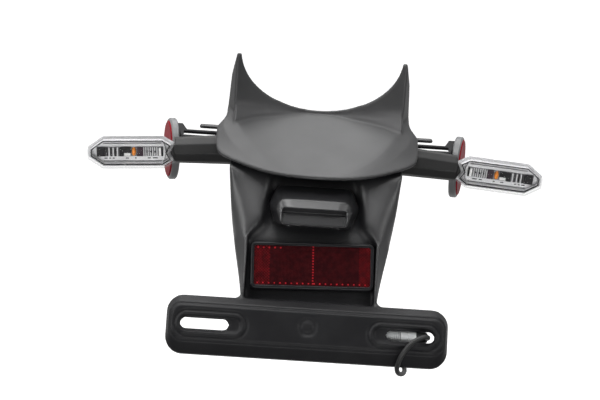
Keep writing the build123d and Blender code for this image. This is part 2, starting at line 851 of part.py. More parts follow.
hood_skin = hood_shape(0)
under_front = face_point(hood_front_low, -hood_proud)
under_back = hood_base.from_local_coords((0, -hood_base_low, 0))
under_run = (under_front - under_back).normalized()
lamp_under = Plane(
    origin=under_back + (under_front - under_back) * lens_share,
    x_dir=(1, 0, 0),
    z_dir=Vector(1, 0, 0).cross(under_run),
)
brow_depth = brow_inset - hood_proud
with BuildPart() as hood_hollow:
    add(hood_shape(lamp_wall))
    with BuildSketch(face.offset(-brow_depth - lamp_wall)):
        with Locations((0, hood_front_mid)):
            Rectangle(2 * hood_half, 4 * hood_front_reach)
    extrude(amount=4 * brow_inset, mode=Mode.SUBTRACT)
lamp_screws_at = ((-lamp_screw_x, 0), (lamp_screw_x, 0))
with BuildPart() as lamp_bosses:
    with BuildSketch(hood_base):
        with Locations(*lamp_screws_at):
            Circle(2 * screw_radius)
    extrude(amount=lamp_screw_reach + lamp_wall)
    add(hood_skin, mode=Mode.INTERSECT)
with BuildPart() as plate_lamp_hood:
    add(hood_skin)
    chamfer(plate_lamp_hood.faces().sort_by(Axis.Y)[0].edges(), length=hood_round / 2)
    with BuildSketch(side):
        Polygon(
            (brow_height, -2 * hood_proud),
            (brow_height, -hood_proud - seam),
            (brow_height - brow_inset, brow_depth),
            (hood_front_low - 2 * brow_inset, brow_depth),
            (hood_front_low - 2 * brow_inset, -2 * hood_proud),
        )
    extrude(amount=brow_half, both=True, mode=Mode.SUBTRACT)
    add(hood_hollow.part, mode=Mode.SUBTRACT)
    add(lamp_bosses.part)
    with BuildSketch(hood_base):
        with Locations(*lamp_screws_at):
            Circle(screw_radius + snug)
    extrude(amount=lamp_screw_reach, mode=Mode.SUBTRACT)
    with BuildSketch(lamp_under):
        RectangleRounded(lens_width, lens_depth, lens_flange)
    extrude(amount=-2 * lamp_wall, mode=Mode.SUBTRACT)
keep(plate_lamp_hood, "plate_lamp_hood")

# Gasket under the hood, with pads round the screws
gasket_edge = hood_foot(0)
gasket_inside = hood_foot(lamp_wall + 1)
with BuildPart() as plate_lamp_gasket:
    with BuildSketch(lamp_seat):
        add(gasket_edge)
        add(gasket_inside, mode=Mode.SUBTRACT)
        with Locations(*lamp_screws_at):
            Circle(2 * screw_radius)
            Circle(screw_radius + fit, mode=Mode.SUBTRACT)
    extrude(amount=gasket_height)
keep(plate_lamp_gasket, "plate_lamp_gasket")

# Clear lens in the underside, with two posts that carry the lamp board
post_height = lamp_wall + lens_post
board_half = lens_width / 2 - lens_flange
with BuildPart() as plate_lamp_lens:
    with BuildSketch(lamp_under):
        RectangleRounded(lens_width + 2 * lens_flange, lens_depth + lens_flange, 2 * lens_flange)
    extrude(amount=lens_flange_height)
    with BuildSketch(lamp_under):
        RectangleRounded(lens_width - 2 * snug, lens_depth - 2 * snug, lens_flange - snug)
    extrude(amount=-lamp_wall)
    with BuildSketch(lamp_under):
        with Locations((-board_half, 0), (board_half, 0)):
            Circle(lens_flange)
    extrude(amount=-post_height)
keep(plate_lamp_lens, "plate_lamp_lens")
with BuildPart() as plate_lamp_board:
    with BuildSketch(lamp_under.offset(-post_height)):
        Rectangle(lens_width + lens_flange, lens_depth)
    extrude(amount=-lamp_board_height)
keep(plate_lamp_board, "plate_lamp_board")
with BuildPart() as plate_lamp_leds:
    with BuildSketch(lamp_under.offset(-post_height)):
        with GridLocations(led_pitch, led_pitch, 3, 1):
            Rectangle(led_width, led_width)
    extrude(amount=led_height)
keep(plate_lamp_leds, "plate_lamp_leds")
with BuildPart() as plate_lamp_screws:
    with BuildSketch(lamp_seat.offset(-seat_wall)):
        with Locations(*lamp_screws_at):
            Circle(screw_head)
    extrude(amount=-screw_head_height)
    with BuildSketch(lamp_seat.offset(-seat_wall)):
        with Locations(*lamp_screws_at):
            Circle(screw_radius)
    extrude(amount=seat_wall + gasket_height + lamp_screw_reach - fit)
keep(plate_lamp_screws, "plate_lamp_screws")

# Rear reflector: tray with a stud, lens, washer and nut
skew = radians(reflector_skew)
reflector_seat = Plane(
    origin=face_point(reflector_rise, pocket_depth, reflector_shift),
    x_dir=Vector(cos(skew), 0, 0) + up_face * sin(skew),
    z_dir=out_face,
)
tray_width = reflector_width - 2 * reflector_rim
tray_height = reflector_height - 2 * reflector_rim
with BuildPart() as rear_reflector_back:
    with BuildSketch(reflector_seat):
        RectangleRounded(reflector_width, reflector_height, reflector_corner)
    extrude(amount=reflector_depth)
    chamfer(rear_reflector_back.faces().sort_by(Axis.Y)[0].edges(), length=reflector_rim / 3)
    with BuildSketch(reflector_seat.offset(reflector_floor)):
        RectangleRounded(tray_width, tray_height, reflector_corner - reflector_rim)
    extrude(amount=reflector_depth, mode=Mode.SUBTRACT)
    with BuildSketch(reflector_seat):
        Circle(stud_radius)
    extrude(amount=-stud_length)
keep(rear_reflector_back, "rear_reflector_back")
with BuildPart() as rear_reflector_lens:
    with BuildSketch(reflector_seat.offset(reflector_floor)):
        RectangleRounded(tray_width - 2 * snug, tray_height - 2 * snug, reflector_corner - reflector_rim)
    extrude(amount=reflector_depth - reflector_floor - reflector_set_in)
keep(rear_reflector_lens, "rear_reflector_lens")
with BuildPart() as rear_reflector_washer:
    with BuildSketch(reflector_seat.offset(-wall)):
        Circle(washer_radius)
        Circle(stud_radius + fit, mode=Mode.SUBTRACT)
    extrude(amount=-washer_height)
keep(rear_reflector_washer, "rear_reflector_washer")
with BuildPart() as rear_reflector_nut:
    with BuildSketch(reflector_seat.offset(-wall - washer_height)):
        RegularPolygon(nut_flats / 2, 6, major_radius=False)
        Circle(stud_radius + snug, mode=Mode.SUBTRACT)
    extrude(amount=-nut_height)
keep(rear_reflector_nut, "rear_reflector_nut")

# Indicators: the right one is built on a plane along its drooping stalk, the left one mirrors it
droop_angle = radians(droop)
indicator_run = Vector(cos(droop_angle), 0, -sin(droop_angle))
indicator_root = Vector(top_half, stalk_y, -stalk_drop)
indicator_rear = Plane(origin=indicator_root, x_dir=indicator_run, z_dir=(0, -1, 0))
indicator_front = Plane(origin=indicator_root, x_dir=indicator_run, z_dir=(0, 1, 0))
notch_x = stalk_length + lamp_notch
heel_x = notch_x + lamp_heel_run
tip_x = notch_x + lamp_length
shoulder_x = tip_x - lamp_tip_run
guide_place = stalk_length + guide_out
block_place = stalk_length + block_out
amber_place = stalk_length + amber_out
right_pieces = {}


def stalk_station(reach):
    root = indicator_root + indicator_run * reach
    return Plane(origin=root, x_dir=(0, -1, 0), z_dir=indicator_run)


def lamp_outline(inset):
    with BuildSketch() as outline:
        Polygon(
            (notch_x, 0),
            (stalk_length, -lamp_point_half),
            (heel_x, -lamp_half),
            (shoulder_x, -lamp_half),
            (tip_x, -lamp_tip_half),
            (tip_x, lamp_tip_half),
            (shoulder_x, lamp_half),
            (heel_x, lamp_half),
            (stalk_length, lamp_point_half),
        )
        if inset > 0:
            offset(amount=-inset, kind=Kind.INTERSECTION)
    return outline.sketch


# Stalk with a ridge along its rear, a nose for the notch and a threaded end
stalk_stations = [
    (-stalk_nose, stalk_root_height, stalk_root_depth),
    (stalk_length, stalk_end_height, stalk_end_depth),
]
with BuildPart() as indicator_stalk:
    for reach, tall, deep in stalk_stations:
        with BuildSketch(stalk_station(reach)):
            Polygon(
                (deep / 2, 0),
                (deep / 3, tall / 3),
                (0, tall / 2),
                (-deep / 3, tall / 2),
                (-deep / 2, tall / 4),
                (-deep / 2, -tall / 4),
                (-deep / 3, -tall / 2),
                (0, -tall / 2),
                (deep / 3, -tall / 3),
            )
    loft()
    with BuildSketch(indicator_rear):
        Polygon((stalk_length, lamp_point_half), (stalk_length, -lamp_point_half), (notch_x, 0))
    extrude(amount=stalk_end_depth / 3, both=True)
    split(bisect_by=Plane.YZ.offset(top_half), keep=Keep.TOP)
    with BuildSketch(Plane.YZ.offset(top_half)):
        with Locations((stalk_y, -thread_drop)):
            Circle(thread_radius)
    extrude(amount=-thread_length)
right_pieces["indicator_stalk"] = indicator_stalk
with BuildPart() as indicator_washer:
    with BuildSketch(Plane.YZ.offset(top_half - wall)):
        with Locations((stalk_y, -thread_drop)):
            Circle(clamp_washer)
            Circle(thread_radius + fit, mode=Mode.SUBTRACT)
    extrude(amount=-clamp_washer_height)
right_pieces["indicator_washer"] = indicator_washer
with BuildPart() as indicator_nut:
    with BuildSketch(Plane.YZ.offset(top_half - wall - clamp_washer_height)):
        with Locations((stalk_y, -thread_drop)):
            RegularPolygon(clamp_flats / 2, 6, major_radius=False)
            Circle(thread_radius + snug, mode=Mode.SUBTRACT)
    extrude(amount=-clamp_height)
right_pieces["indicator_nut"] = indicator_nut

# Indicator housing at the front of the parting line and clear lens behind it
lamp_edge = lamp_outline(0)
lamp_inside = lamp_outline(lens_wall)
lamp_ledge = lamp_outline(housing_rim)
plate_edge = lamp_outline(lens_wall + fit)
with BuildPart() as indicator_housing:
    with BuildSketch(indicator_front):
        add(lamp_edge)
    extrude(amount=housing_reach, taper=housing_draft)
    with BuildSketch(indicator_front):
        add(lamp_ledge)
    extrude(amount=housing_reach - lens_wall, taper=housing_draft, mode=Mode.SUBTRACT)
right_pieces["indicator_housing"] = indicator_housing
with BuildPart() as indicator_lens:
    with BuildSketch(indicator_rear):
        add(lamp_edge)
    extrude(amount=lens_reach)
    chamfer(indicator_lens.faces().sort_by(Axis.Y)[0].edges(), length=lens_bevel)
    with BuildSketch(indicator_rear):
        add(lamp_inside)
    extrude(amount=lens_reach - lens_bevel - lens_wall / 2, mode=Mode.SUBTRACT)
right_pieces["indicator_lens"] = indicator_lens

# Reflector plate on the ledge, board behind it, amber chip and clear guide in its window
with BuildPart() as indicator_reflector:
    with BuildSketch(indicator_rear):
        add(plate_edge)
        with Locations((guide_place, 0)):
            Rectangle(guide_length, guide_height, mode=Mode.SUBTRACT)
    extrude(amount=plate_thick)
    with BuildSketch(indicator_rear.offset(plate_thick)):
        with Locations((block_place, 0)):
            Rectangle(block_length, block_height)
    extrude(amount=block_reach)
right_pieces["indicator_reflector"] = indicator_reflector
with BuildPart() as indicator_board:
    with BuildSketch(indicator_rear):
        with Locations((guide_place, 0)):
            Rectangle(board_length, board_height)
    extrude(amount=-board_thick)
right_pieces["indicator_board"] = indicator_board
with BuildPart() as indicator_led:
    with BuildSketch(indicator_rear):
        with Locations((amber_place, 0)):
            Rectangle(amber_size, amber_size)
    extrude(amount=amber_reach)
right_pieces["indicator_led"] = indicator_led
with BuildPart() as indicator_guide:
    with BuildSketch(indicator_rear):
        with Locations((guide_place, 0)):
            Rectangle(guide_length - 2 * fit, guide_height - 2 * fit)
    extrude(amount=guide_reach)
    with BuildSketch(indicator_rear):
        with Locations((amber_place, 0)):
            Rectangle(amber_size + 2 * fit, amber_size + 2 * fit)
    extrude(amount=amber_reach + fit, mode=Mode.SUBTRACT)
right_pieces["indicator_guide"] = indicator_guide

# Side reflectors on flat loop brackets that pass through the side walls
turn = radians(disc_turn)
disc_out = Vector(cos(turn), -sin(turn), 0)
disc_back = Plane(
    origin=Vector(disc_x, disc_y, -disc_drop), x_dir=Vector(sin(turn), cos(turn), 0), z_dir=disc_out
)
loop_near = -tail_back + bracket_near
loop_far = -tail_back + bracket_far
tab_top = disc_drop - wall
window_length = disc_x - top_half - 3 * bracket_arm
with BuildPart() as side_reflector_bracket:
    with BuildSketch(Plane.XY.offset(-wall - bracket_thick)):
        Polygon(
            (bracket_inner, loop_near),
            (disc_x + disc_body, loop_near),
            (disc_x + disc_body, disc_y + tab_reach),
            (disc_x - bracket_arm, disc_y + tab_reach),
            (disc_x - 2 * bracket_arm, loop_far),
            (bracket_inner, loop_far),
        )
        with Locations(((top_half + disc_x) / 2, bracket_y)):
            Rectangle(window_length, bracket_depth - 2 * bracket_arm, mode=Mode.SUBTRACT)
        with Locations((bracket_bolt_x, bracket_y)):
            Circle(bracket_bolt_radius + fit, mode=Mode.SUBTRACT)
    extrude(amount=bracket_thick)
    split(bisect_by=disc_back, keep=Keep.BOTTOM)
    with BuildSketch(disc_back):
        Polygon(
            (loop_far - disc_y - tab_reach, tab_top),
            (tab_reach, tab_top),
            (tab_reach, -tab_reach),
            (-tab_reach, -tab_reach),
        )
        fillet(vertices().group_by(Axis.Z)[0], radius=tab_reach / 2)
        Circle(disc_stud + fit, mode=Mode.SUBTRACT)
    extrude(amount=-bracket_thick)
right_pieces["side_reflector_bracket"] = side_reflector_bracket
with BuildPart() as side_reflector_body:
    with BuildSketch(disc_back):
        Circle(disc_radius)
    extrude(amount=disc_body)
    chamfer(side_reflector_body.edges().filter_by(GeomType.CIRCLE), length=disc_margin / 2)
    with BuildSketch(disc_back.offset(disc_body - disc_margin)):
        Circle(disc_radius - disc_margin)
    extrude(amount=disc_margin, mode=Mode.SUBTRACT)
    with BuildSketch(disc_back):
        Circle(disc_stud)
    extrude(amount=-disc_stud_length)
right_pieces["side_reflector_body"] = side_reflector_body
with BuildPart() as side_reflector_lens:
    with BuildSketch(disc_back.offset(disc_body - disc_margin)):
        Circle(disc_radius - disc_margin - snug)
    extrude(amount=disc_lens)
    chamfer(side_reflector_lens.faces().sort_by(Axis.X)[-1].edges(), length=disc_lens / 3)
right_pieces["side_reflector_lens"] = side_reflector_lens
with BuildPart() as side_reflector_nut:
    with BuildSketch(disc_back.offset(-bracket_thick)):
        RegularPolygon(nut_flats / 2, 6, major_radius=False)
        Circle(disc_stud + snug, mode=Mode.SUBTRACT)
    extrude(amount=-nut_height)
right_pieces["side_reflector_nut"] = side_reflector_nut
for piece_name, right_piece in right_pieces.items():
    keep(right_piece, f"right_{piece_name}")
    with BuildPart() as left_piece:
        mirror(right_piece.part, about=Plane.YZ)
    keep(left_piece, f"left_{piece_name}")

# Bolts and nuts that hold the brackets under the deck
bracket_bolts_at = ((-bracket_bolt_x, bracket_y), (bracket_bolt_x, bracket_y))
with BuildPart() as bracket_bolts:
    with BuildSketch(Plane.XY):
        with Locations(*bracket_bolts_at):
            Circle(bracket_head)
    extrude(amount=bracket_head_height)
    chamfer(bracket_bolts.faces().sort_by(Axis.Z)[-2:].edges(), length=bracket_head_height / 3)
    with BuildSketch(Plane.XY):
        with Locations(*bracket_bolts_at):
            Circle(bracket_bolt_radius)
    extrude(amount=-wall - bracket_thick - bracket_nut_height - 1)
keep(bracket_bolts, "bracket_bolts")
with BuildPart() as bracket_nuts:
    with BuildSketch(Plane.XY.offset(-wall - bracket_thick)):
        with Locations(*bracket_bolts_at):
            RegularPolygon(bracket_nut_flats / 2, 6, major_radius=False)
            Circle(bracket_bolt_radius + snug, mode=Mode.SUBTRACT)
    extrude(amount=-bracket_nut_height)
keep(bracket_nuts, "bracket_nuts")

# Grommet in the channel floor where the lamp lead leaves
with BuildPart() as lead_grommet:
    with BuildSketch(lamp_seat):
        with Locations((0, grommet_rise)):
            Circle(grommet_hole - snug)
    extrude(amount=-seat_wall)
    with BuildSketch(lamp_seat.offset(-seat_wall)):
        with Locations((0, grommet_rise)):
            Circle(grommet_flange)
    extrude(amount=-grommet_lip)
    chamfer(lead_grommet.faces().sort_by(Axis.Y)[-1].edges(), length=grommet_lip / 3)
keep(lead_grommet, "lead_grommet")

# Connector behind the right slot, with a ribbed boot on its far end
plug_near = wall + fit
plug_middle = plug_near + plug_depth / 2
plug_seat = Plane(
    origin=face_point(slot_rise, plug_middle, plug_start), x_dir=up_face, z_dir=(-1, 0, 0)
)
with BuildPart() as lead_connector:
    with BuildSketch(plug_seat):
        RectangleRounded(plug_height, plug_depth, fit * 4)
    extrude(amount=plug_length)
    with BuildSketch(plug_seat.offset(plug_length)):
        Circle(boot_radius)
    extrude(amount=boot_rings * boot_pitch)
    for ring in range(boot_rings):
        with BuildSketch(plug_seat.offset(plug_length + boot_pitch * (ring + 0.4))):
            Circle(boot_radius + 0.8)
        extrude(amount=boot_pitch / 2)
keep(lead_connector, "lead_connector")

# Lamp lead: straight runs joined by tangent bends, from the grommet round the bar to the connector
lead_exit = lamp_seat.from_local_coords((0, grommet_rise, -seat_wall - grommet_lip))
lead_points = [lead_exit, lead_exit - lamp_seat.z_dir * lead_start]
lead_points += [face_point(height, depth, across) for across, height, depth in lead_stops]
lead_points += [
    face_point(slot_rise, plug_middle, slot_entry), face_point(slot_rise, plug_middle, plug_start)
]
lead_radii = []
for before, corner, after in zip(lead_points, lead_points[1:], lead_points[2:]):
    shorter = min((before - corner).length, (after - corner).length)
    half_turn = radians(180 - (before - corner).get_angle(after - corner)) / 2
    lead_radii.append(0.45 * shorter / tan(half_turn))
print("lead bend radii", [round(radius, 1) for radius in lead_radii])
with BuildPart() as lamp_lead:
    with BuildLine() as lead_path:
        FilletPolyline(*lead_points, radius=lead_radii)
    with BuildSketch(Plane(origin=lead_exit, z_dir=lamp_seat.z_dir * -1)):
        Circle(lead_radius)
    sweep()
keep(lamp_lead, "lamp_lead")
print("lead length", round(lead_path.wire().length, 1))
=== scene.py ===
from math import cos, exp, pi, radians, sin

import bmesh
import bpy
from mathutils import Matrix, Vector


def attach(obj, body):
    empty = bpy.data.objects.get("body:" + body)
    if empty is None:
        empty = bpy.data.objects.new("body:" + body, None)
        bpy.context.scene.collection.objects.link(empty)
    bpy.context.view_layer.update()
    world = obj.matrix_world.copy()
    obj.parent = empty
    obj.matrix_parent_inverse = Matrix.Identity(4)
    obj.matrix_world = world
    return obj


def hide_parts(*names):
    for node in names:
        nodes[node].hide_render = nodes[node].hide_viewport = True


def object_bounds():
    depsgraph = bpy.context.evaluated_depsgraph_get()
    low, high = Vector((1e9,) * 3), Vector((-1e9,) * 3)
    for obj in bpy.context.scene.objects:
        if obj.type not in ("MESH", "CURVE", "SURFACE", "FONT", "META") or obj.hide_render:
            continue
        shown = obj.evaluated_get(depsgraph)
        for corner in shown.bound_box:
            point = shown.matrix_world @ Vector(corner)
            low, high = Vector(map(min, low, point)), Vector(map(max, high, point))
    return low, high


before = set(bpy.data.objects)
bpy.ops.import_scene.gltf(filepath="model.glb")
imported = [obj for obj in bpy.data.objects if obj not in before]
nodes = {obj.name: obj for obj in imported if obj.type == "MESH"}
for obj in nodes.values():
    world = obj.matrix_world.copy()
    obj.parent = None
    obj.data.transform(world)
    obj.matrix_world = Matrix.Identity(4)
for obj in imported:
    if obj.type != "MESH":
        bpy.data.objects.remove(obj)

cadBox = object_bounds()
mm = 0.001
print("frame loaded,", len(nodes), "nodes")

# the plate face: a point is given as across, height up the face and depth into the part, in mm
plateFace = {"lean": 30.0, "back": 178.0, "drop": 112.0}
lean = radians(plateFace["lean"])
upFace = Vector((0, sin(lean), cos(lean)))
outFace = Vector((0, -cos(lean), sin(lean)))
plateCentre = Vector((0, -plateFace["back"], -plateFace["drop"]))


def facePoint(across, height, depth):
    return (plateCentre + upFace * height - outFace * depth + Vector((across, 0, 0))) * mm


def faceCoords(point):
    offset = point / mm - plateCentre
    return offset.x, offset.dot(upFace), -offset.dot(outFace)


def clampShare(value):
    return max(0, min(1, value))


def linkNew(name, data):
    item = bpy.data.objects.new(name, data)
    bpy.context.scene.collection.objects.link(item)
    return item


# camera, fitted to left and right pairs of points
camSetup = {
    "aim": (-11.1, -108.0, -32.1), "distance": 1400.0, "azimuth": 1.15, "elevation": 18.0, "roll": -4.08,
    "focal": 1808.8, "imageWidth": 600.0, "sensor": 36.0, "clip": (0.05, 30.0),
}


def makeCamera(setup):
    az, el, roll = (radians(setup[k]) for k in ("azimuth", "elevation", "roll"))
    look = Vector((sin(az) * cos(el), cos(az) * cos(el), -sin(el)))
    right = Vector((cos(az), -sin(az), 0))
    up = right.cross(look)
    camX = right * cos(roll) - up * sin(roll)
    camY = right * sin(roll) + up * cos(roll)
    data = bpy.data.cameras.new("viewCamera")
    data.sensor_fit = "HORIZONTAL"
    data.sensor_width = setup["sensor"]
    data.lens = setup["focal"] * setup["sensor"] / setup["imageWidth"]
    data.clip_start, data.clip_end = setup["clip"]
    cam = linkNew("viewCamera", data)
    place = (Vector(setup["aim"]) - look * setup["distance"]) * mm
    cam.matrix_world = Matrix((
        (camX.x, camY.x, -look.x, place.x),
        (camX.y, camY.y, -look.y, place.y),
        (camX.z, camY.z, -look.z, place.z),
        (0, 0, 0, 1),
    ))
    bpy.context.scene.camera = cam


makeCamera(camSetup)


# nodes of a finish or of the world
def addNode(owner, kind, values=None):
    node = owner.node_tree.nodes.new("ShaderNode" + kind)
    for socket, value in (values or {}).items():
        node.inputs[socket].default_value = value
    return node


def joinNodes(owner, source, target):
    owner.node_tree.links.new(source, target)


def addRange(owner, source, fromSpan, toSpan):
    ramp = addNode(owner, "MapRange", {
        "From Min": fromSpan[0], "From Max": fromSpan[1], "To Min": toSpan[0], "To Max": toSpan[1],
    })
    joinNodes(owner, source, ramp.inputs["Value"])
    return ramp


def plainShader(name, colour, roughness, specular=0.5):
    mat = bpy.data.materials.new(name)
    mat.use_nodes = True
    shader = mat.node_tree.nodes["Principled BSDF"]
    shader.inputs["Base Color"].default_value = (*colour, 1)
    shader.inputs["Roughness"].default_value = roughness
    shader.inputs["Specular IOR Level"].default_value = specular
    return mat, shader


# floor, world and lamps of the studio, in metres: soft boxes above, behind and beside, a dim room in front
studio = {
    "floorDrop": 0.80, "floorSize": 30.0, "floorGlow": 0.75,
    "floorColour": (0.93, 0.93, 0.93), "floorRough": 0.9, "floorShine": 0.1,
    "frontLight": 0.13, "backLight": 0.9, "turnSpan": (-0.25, 0.85),
    # name: place, aim, width, length, watts
    "lamps": {
        "backBox": ((-0.16, 0.72, 1.15), (0.0, -0.06, 0.0), 1.2, 0.9, 12.5),
        "topBox": ((-0.12, -0.20, 1.25), (0.0, -0.10, -0.03), 1.0, 0.55, 13.5),
        "shoulderBox": ((-0.95, -0.05, 0.80), (0.0, -0.10, -0.02), 0.55, 0.55, 5.0),
        "ledgeBox": ((0.62, -0.10, 0.97), (0.0, -0.05, 0.02), 0.45, 0.45, 2.0),
        "leftBox": ((-1.2, -0.75, 0.48), (0.0, -0.08, -0.05), 0.7, 0.7, 9.8),
        "rightBox": ((1.15, -0.85, 0.50), (0.0, -0.10, -0.05), 0.6, 0.6, 6.5),
        "lowFill": ((0.0, -1.4, -0.48), (0.0, -0.05, 0.03), 1.3, 0.5, 10.0),
    },
}


def makeFloor(setup):
    low = cadBox[0].z - setup["floorDrop"]
    half = setup["floorSize"] / 2
    mesh = bpy.data.meshes.new("paleFloor")
    corners = [(-half, -half, low), (half, -half, low), (half, half, low), (-half, half, low)]
    mesh.from_pydata(corners, [], [(0, 1, 2, 3)])
    floor = linkNew("paleFloor", mesh)
    mat, shader = plainShader(
        "paleFloorPaint", setup["floorColour"], setup["floorRough"], setup["floorShine"])
    shader.inputs["Emission Color"].default_value = (1, 1, 1, 1)
    shader.inputs["Emission Strength"].default_value = setup["floorGlow"]
    mesh.materials.append(mat)
    floor.visible_diffuse = floor.visible_glossy = False  # the sweep is far off and throws no light up


def makeWorld(setup):
    world = bpy.data.worlds.new("studioWorld")
    world.use_nodes = True
    back = world.node_tree.nodes["Background"]
    back.inputs["Color"].default_value = (1, 1, 1, 1)
    place = addNode(world, "TexCoord")
    split = addNode(world, "SeparateXYZ")
    joinNodes(world, place.outputs["Generated"], split.inputs["Vector"])
    lightSpan = (setup["frontLight"], setup["backLight"])
    ramp = addRange(world, split.outputs["Y"], setup["turnSpan"], lightSpan)
    ramp.interpolation_type = "SMOOTHSTEP"
    joinNodes(world, ramp.outputs["Result"], back.inputs["Strength"])
    bpy.context.scene.world = world
    bpy.context.scene.view_settings.view_transform = "Standard"


def makeLamps(setup):
    for name, (place, aim, width, length, watts) in setup["lamps"].items():
        data = bpy.data.lights.new(name, "AREA")
        data.shape, data.size, data.size_y, data.energy = "RECTANGLE", width, length, watts
        lamp = linkNew(name, data)
        lamp.location = place
        lamp.rotation_euler = (Vector(aim) - Vector(place)).to_track_quat("-Z", "Y").to_euler()


makeFloor(studio)
makeWorld(studio)
makeLamps(studio)
print("studio and camera set")

# finishes: every one is made of nodes, with its grain in object space
grainLook = {"detail": 3, "driftScale": 28, "tintSpan": (0.35, 0.65)}
finishes = {}


def addGrain(mat, shader, scale, strength, distance, roughSpan):
    place = addNode(mat, "TexCoord")
    grain = addNode(mat, "TexNoise", {"Scale": scale, "Detail": grainLook["detail"]})
    bump = addNode(mat, "Bump", {"Strength": strength, "Distance": distance})
    drift = addNode(mat, "TexNoise", {"Scale": grainLook["driftScale"]})
    joinNodes(mat, place.outputs["Object"], grain.inputs["Vector"])
    joinNodes(mat, place.outputs["Object"], drift.inputs["Vector"])
    joinNodes(mat, grain.outputs["Fac"], bump.inputs["Height"])
    joinNodes(mat, bump.outputs["Normal"], shader.inputs["Normal"])
    rough = addRange(mat, drift.outputs["Fac"], (0, 1), roughSpan)
    joinNodes(mat, rough.outputs["Result"], shader.inputs["Roughness"])


def tintDrift(mat, shader, dark, light, scale):
    place = addNode(mat, "TexCoord")
    cloud = addNode(mat, "TexNoise", {"Scale": scale})
    tint = addNode(mat, "ValToRGB")
    for element, position, colour in zip(tint.color_ramp.elements, grainLook["tintSpan"], (dark, light)):
        element.position, element.color = position, (*colour, 1)
    joinNodes(mat, place.outputs["Object"], cloud.inputs["Vector"])
    joinNodes(mat, cloud.outputs["Fac"], tint.inputs["Fac"])
    joinNodes(mat, tint.outputs["Color"], shader.inputs["Base Color"])


# plastics, rubber and paint: colour, lighter drift, roughness span, specular, grain scale and strength
mouldings = {
    "fenderBlack": ((0.008, 0.008, 0.009), (0.011, 0.011, 0.012), (0.40, 0.50), 0.5, 2600, 0.30),
    "coverBlack": ((0.020, 0.020, 0.021), (0.026, 0.026, 0.027), (0.44, 0.54), 0.5, 2600, 0.30),
    "hoodBlack": ((0.010, 0.010, 0.011), (0.014, 0.014, 0.015), (0.28, 0.36), 0.5, 1800, 0.12),
    "trayBlack": ((0.006, 0.006, 0.007), (0.009, 0.009, 0.010), (0.30, 0.38), 0.18, 2200, 0.18),
    "stalkBlack": ((0.010, 0.010, 0.010), (0.014, 0.014, 0.014), (0.48, 0.6), 0.3, 2000, 0.36),
    "leadRubber": ((0.012, 0.012, 0.012), (0.02, 0.02, 0.02), (0.42, 0.55), 0.4, 1500, 0.24),
    "bodyGrey": ((0.09, 0.092, 0.095), (0.12, 0.122, 0.125), (0.35, 0.45), 0.5, 1500, 0.18),
    "housingPale": ((0.52, 0.52, 0.53), (0.62, 0.62, 0.63), (0.25, 0.35), 0.5, 1500, 0.18),
    "plateGrey": ((0.60, 0.60, 0.61), (0.70, 0.70, 0.71), (0.22, 0.35), 0.6, 900, 0.18),
    "boardGreen": ((0.05, 0.055, 0.05), (0.08, 0.085, 0.08), (0.4, 0.5), 0.5, 900, 0.18),
    "lampDark": ((0.008, 0.008, 0.009), (0.014, 0.014, 0.015), (0.4, 0.5), 0.1, 1200, 0.18),
    "lampPlum": ((0.030, 0.017, 0.024), (0.045, 0.026, 0.036), (0.4, 0.5), 0.1, 1200, 0.18),
    "lampMid": ((0.13, 0.13, 0.135), (0.19, 0.19, 0.195), (0.3, 0.4), 0.4, 1200, 0.18),
    "plugGrey": ((0.50, 0.51, 0.51), (0.60, 0.61, 0.61), (0.35, 0.45), 0.5, 1500, 0.18),
    "bootGrey": ((0.34, 0.35, 0.35), (0.42, 0.43, 0.43), (0.4, 0.5), 0.4, 1500, 0.18),
    "bracketPaint": ((0.006, 0.006, 0.007), (0.010, 0.010, 0.011), (0.6, 0.7), 0.15, 1200, 0.24),
}
mouldGrain = {"tintScale": 40, "distance": 0.0002}


def makeMouldings(table, grain):
    for finishName, (dark, light, roughSpan, specular, scale, strength) in table.items():
        mat, shader = plainShader(finishName, dark, roughSpan[0], specular)
        tintDrift(mat, shader, dark, light, grain["tintScale"])
        addGrain(mat, shader, scale, strength, grain["distance"], roughSpan)
        finishes[finishName] = mat


makeMouldings(mouldings, mouldGrain)

# painted shade on the fender: its reflection is turned down on the plate bar below the flanks, and further in
# close corners, grooves and recesses found by an occlusion probe, in metres
barPaintedShade = {
    "fadeSpan": (-0.100, -0.085), "shadedBarShine": 0.17, "flankShine": 0.75,
    "cornerReach": 0.014, "cornerSamples": 8, "openSpan": (0.45, 0.85), "shadedCornerShine": 0.08,
}


def paintBarShade(mat, look):
    shader = mat.node_tree.nodes["Principled BSDF"]
    place = addNode(mat, "TexCoord")
    split = addNode(mat, "SeparateXYZ")
    joinNodes(mat, place.outputs["Object"], split.inputs["Vector"])
    # painted shade: the reflection fades lower down onto the plate bar
    fade = addRange(mat, split.outputs["Z"], look["fadeSpan"], (look["shadedBarShine"], look["flankShine"]))
    # painted shade: an occlusion probe darkens the reflection in corners, grooves and recesses
    corner = addNode(mat, "AmbientOcclusion", {"Distance": look["cornerReach"]})
    corner.samples = look["cornerSamples"]
    shineAfterShade = addRange(mat, corner.outputs["AO"], look["openSpan"], (look["shadedCornerShine"], 1))
    shine = addNode(mat, "Math")
    shine.operation = "MULTIPLY"
    joinNodes(mat, fade.outputs["Result"], shine.inputs[0])
    joinNodes(mat, shineAfterShade.outputs["Result"], shine.inputs[1])
    joinNodes(mat, shine.outputs["Value"], shader.inputs["Specular IOR Level"])


paintBarShade(finishes["fenderBlack"], barPaintedShade)

# lamp chips: plain colours with a slightly darker drift
chipLook = {
    "rough": 0.3, "darkShare": 0.8, "tintScale": 600,
    "colours": {
        "amberChip": (1.0, 0.30, 0.02),
        "warmWhiteChip": (0.9, 0.85, 0.6),
        "brightBarChip": (0.85, 0.85, 0.84),
    },
}


def makeChips(look):
    for finishName, colour in look["colours"].items():
        mat, shader = plainShader(finishName, colour, look["rough"])
        tintDrift(mat, shader, [c * look["darkShare"] for c in colour], colour, look["tintScale"])
        finishes[finishName] = mat


makeChips(chipLook)

steelLook = {"colour": (0.55, 0.55, 0.56), "rough": (0.25, 0.4), "grain": (700, 0.1, 0.0001)}


